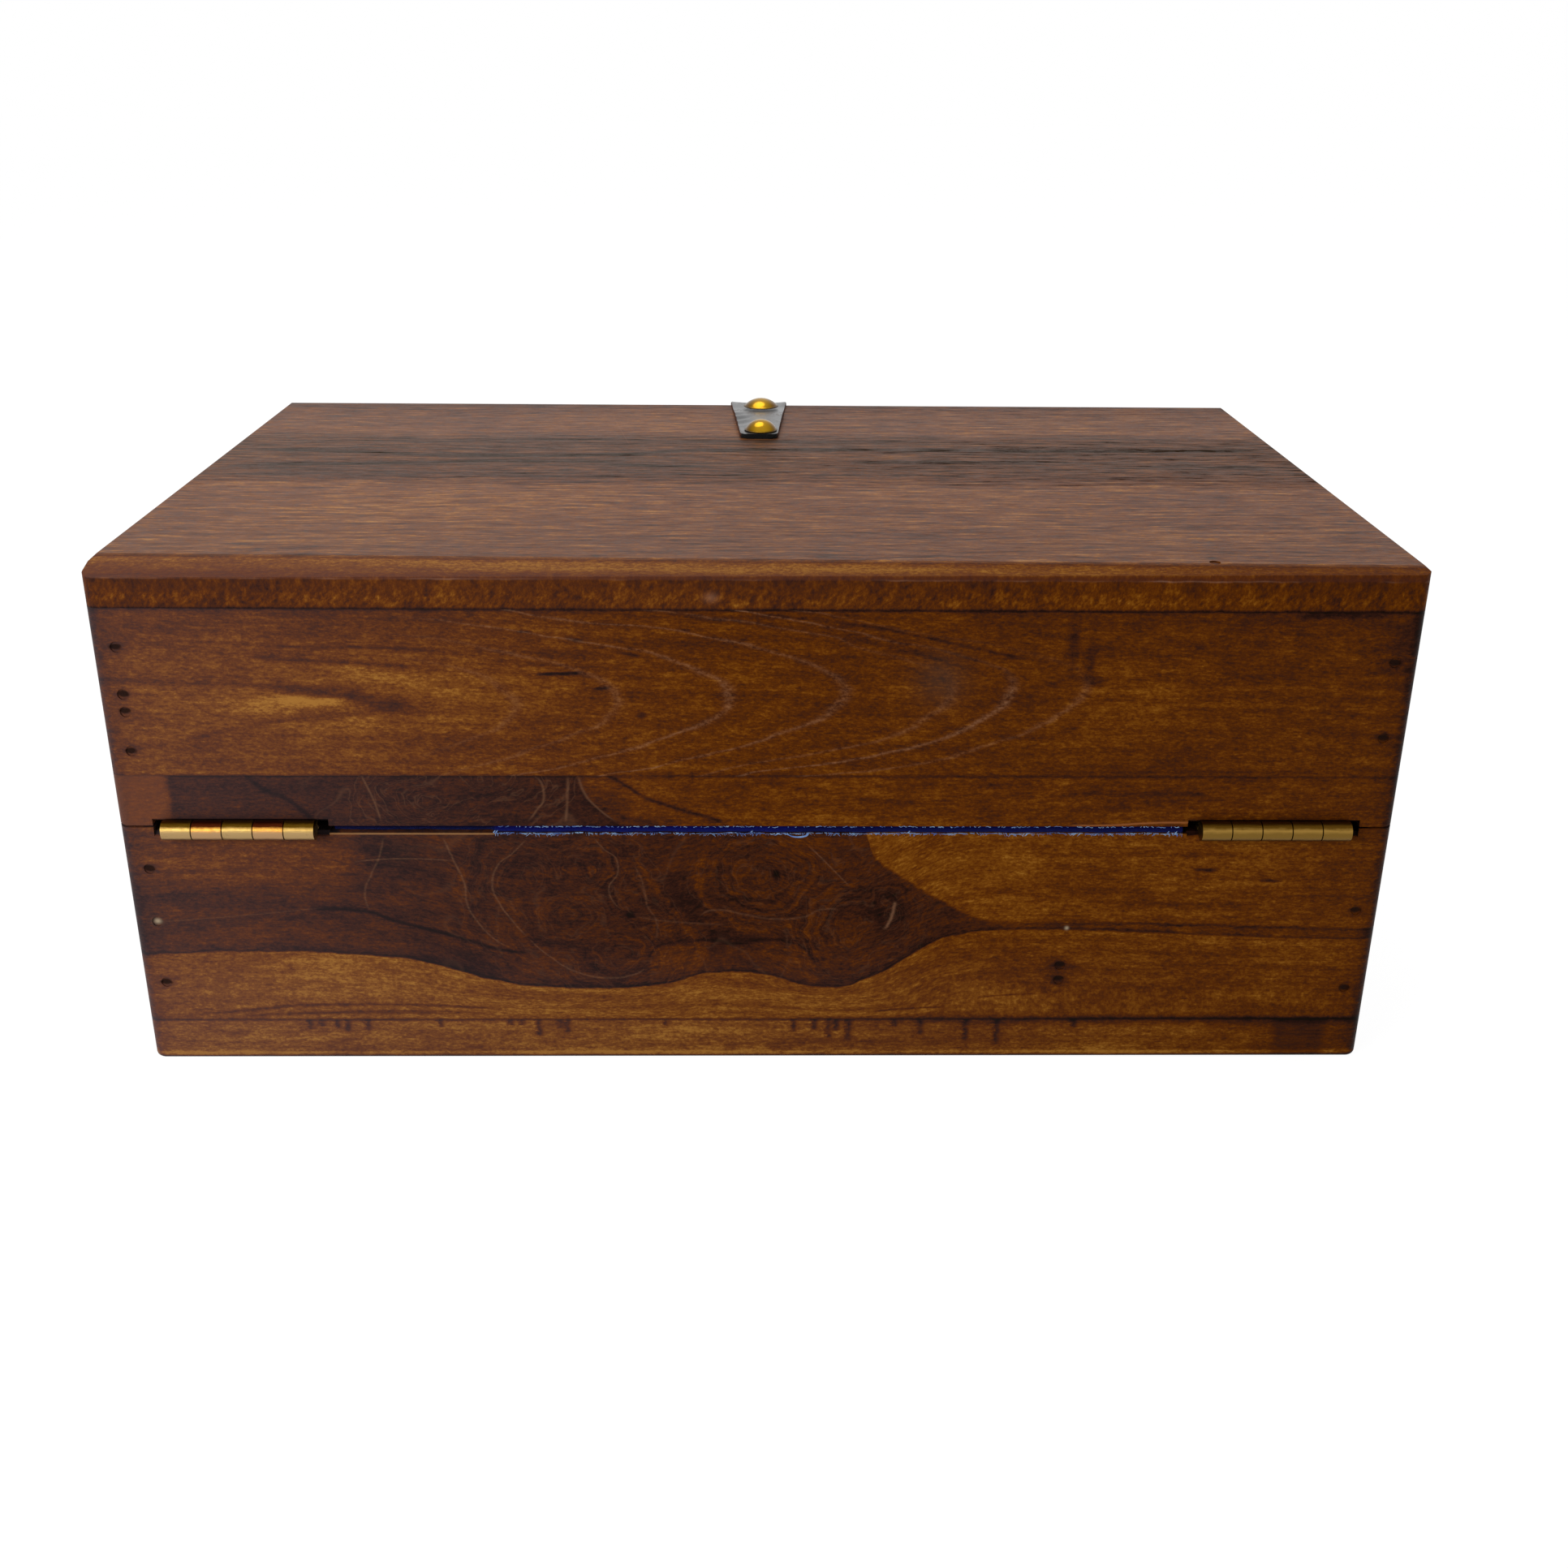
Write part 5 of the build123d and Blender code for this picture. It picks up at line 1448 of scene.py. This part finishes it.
def place_camera():
    """The camera of the photograph."""
    yaw, pitch, roll = [math.radians(angle) for angle in (CAMERA_YAW, CAMERA_PITCH, CAMERA_ROLL)]
    ahead = Vector((
        math.sin(yaw) * math.cos(pitch),
        -math.cos(yaw) * math.cos(pitch),
        -math.sin(pitch),
    ))
    level_right = ahead.cross(Vector((0, 0, 1))).normalized()
    level_up = level_right.cross(ahead)
    right = math.cos(roll) * level_right + math.sin(roll) * level_up
    up = -math.sin(roll) * level_right + math.cos(roll) * level_up
    camera = bpy.data.objects.new("camera", bpy.data.cameras.new("camera"))
    bpy.context.scene.collection.objects.link(camera)
    camera.data.lens = CAMERA_LENS
    camera.data.sensor_width = SENSOR
    camera.data.clip_start = 0.01
    turn = Matrix((right, up, -ahead)).transposed().to_4x4()
    camera.matrix_world = Matrix.Translation(Vector(CAMERA_PLACE) * MM) @ turn
    bpy.context.scene.camera = camera


def area_light(name, place, target, size, power):
    """A round lamp turned towards a point."""
    light = bpy.data.lights.new(name, "AREA")
    light.shape = "DISK"
    light.size = size
    light.energy = power
    lamp = bpy.data.objects.new(name, light)
    lamp.location = place
    lamp.rotation_mode = "QUATERNION"
    lamp.rotation_quaternion = (Vector(target) - Vector(place)).to_track_quat("-Z", "Y")
    bpy.context.scene.collection.objects.link(lamp)


def seen_directly(tree):
    """1 for rays from the camera and for reflections in metal and gloss."""
    path = tree.nodes.new("ShaderNodeLightPath")
    seen = path.outputs["Is Camera Ray"]
    for name in ("Is Glossy Ray", "Is Transmission Ray"):
        node = tree.nodes.new("ShaderNodeMath")
        node.operation = "MAXIMUM"
        tree.links.new(seen, node.inputs[0])
        tree.links.new(path.outputs[name], node.inputs[1])
        seen = node.outputs[0]
    return seen


def light_up():
    """White surroundings that are dimmer on the box than to the camera, and two lamps."""
    bpy.context.scene.view_settings.view_transform = "Standard"
    world = bpy.data.worlds.new("studio")
    bpy.context.scene.world = world
    world.use_nodes = True
    tree = world.node_tree
    background = tree.nodes["Background"]
    background.inputs["Color"].default_value = (1, 1, 1, 1)
    strength = tree.nodes.new("ShaderNodeMapRange")
    tree.links.new(seen_directly(tree), strength.inputs["Value"])
    strength.inputs["To Min"].default_value = SKY_ON_BOX
    strength.inputs["To Max"].default_value = SKY_SEEN
    tree.links.new(strength.outputs[0], background.inputs["Strength"])
    for name, (place, size, power) in LIGHTS.items():
        area_light(name, place, LIT_POINT, size, power)


def lay_floor():
    """A white floor that shows white to the camera and keeps a faint shadow of the box."""
    signs = ((-1, -1), (1, -1), (1, 1), (-1, 1))
    corners = [(side * FLOOR_REACH, front * FLOOR_REACH, FLOOR_LEVEL) for side, front in signs]
    material = bpy.data.materials.new("floor")
    material.use_nodes = True
    tree = material.node_tree
    paint = tree.nodes["Principled BSDF"]
    paint.inputs["Base Color"].default_value = (0.85, 0.85, 0.85, 1)
    paint.inputs["Roughness"].default_value = 0.9
    glow = tree.nodes.new("ShaderNodeEmission")
    glow.inputs["Strength"].default_value = FLOOR_GLOW
    blend = tree.nodes.new("ShaderNodeMixShader")
    share = tree.nodes.new("ShaderNodeMath")
    share.operation = "MULTIPLY"
    share.inputs[1].default_value = FLOOR_GLOW_SHARE
    tree.links.new(seen_directly(tree), share.inputs[0])
    tree.links.new(share.outputs[0], blend.inputs[0])
    tree.links.new(paint.outputs[0], blend.inputs[1])
    tree.links.new(glow.outputs[0], blend.inputs[2])
    tree.links.new(blend.outputs[0], tree.nodes["Material Output"].inputs["Surface"])
    new_piece("floor", corners, [(0, 1, 2, 3)], material)


def dress():
    """Gives every CAD node its material, and makes the soft and domed pieces."""
    side_wood = plain_wood("side_wood", "y", "z", "x", 0.58)
    inner_wood = plain_wood("inner_wood", "x", "y", "z", 0.68, gloss=0.1, rough=0.7)
    upright_wood = plain_wood("upright_wood", "x", "z", "y", 0.66, gloss=0.1, rough=0.7)
    front_wood = plain_wood("front_wood", "x", "z", "y", 0.60, 1.3)
    hinge_brass = hinge_metal("hinge_brass", (88, 62, 12), (190, 154, 84), (172, 142, 96))
    red_brass = hinge_metal("worn_brass", (72, 28, 8), (214, 152, 66), (174, 138, 98))
    dull_brass = hinge_metal("dull_brass", (84, 58, 14), (150, 116, 54), (116, 88, 38))
    screw_brass = brass("screw_brass", (150, 120, 66), (104, 82, 40), 0.45, 0.8)
    tack_brass = tack_metal()
    assign(inner_wood, "pen_tray", "base_flap_board", "lid_flap_board", "base_hinge_rail", "lid_hinge_rail")
    assign(upright_wood, "bay_divider", "tray_bearers")
    assign(side_wood, "cross_divider", "ink_partition_left", "ink_partition_right")
    for side in ("left", "right"):
        assign(side_wood, f"base_side_{side}", f"lid_side_{side}", f"base_ledge_{side}", f"lid_ledge_{side}")
    assign(dull_brass, "base_hinge_leaf_left", "lid_hinge_leaf_left", "hinge_pin_left")
    assign(hinge_brass, "lid_hinge_leaf_right", "hinge_pin_right")
    assign(red_brass, "base_hinge_leaf_right")
    assign(front_wood, "base_front_board", "lid_front_board")
    assign(base_back_wood(), "base_back_board", "base_nails")
    assign(lid_back_wood(), "lid_back_board", "lid_nails")
    assign(lid_strip_wood(), "lid_back_strip")
    assign(bottom_wood(), "base_bottom_board")
    assign(top_wood(), "lid_top_board")
    assign(screw_brass, "base_hinge_screws", "lid_hinge_screws")
    assign(tack_brass, "strap_tacks", "strap_stud")
    cloth = velvet()
    assign(cloth, "base_rim_cloth", "lid_rim_cloth", "base_flap_cloth", "lid_flap_cloth")
    face = leather()
    assign(face, "strap_anchor", "strap_tail")
    make_tacks(tack_brass)
    make_strap(face, leather_edge())
    make_hinge_cloth(cloth, fray())
    make_flap_cloth("base", BASE_CLOTH_LEVEL - CLOTH / 2, BASE_FLAP_CLOTH_END, cloth)
    make_flap_cloth("lid", LID_CLOTH_LEVEL - CLOTH / 2, LID_FLAP_CLOTH_END, cloth)


place_camera()
light_up()
lay_floor()
dress()
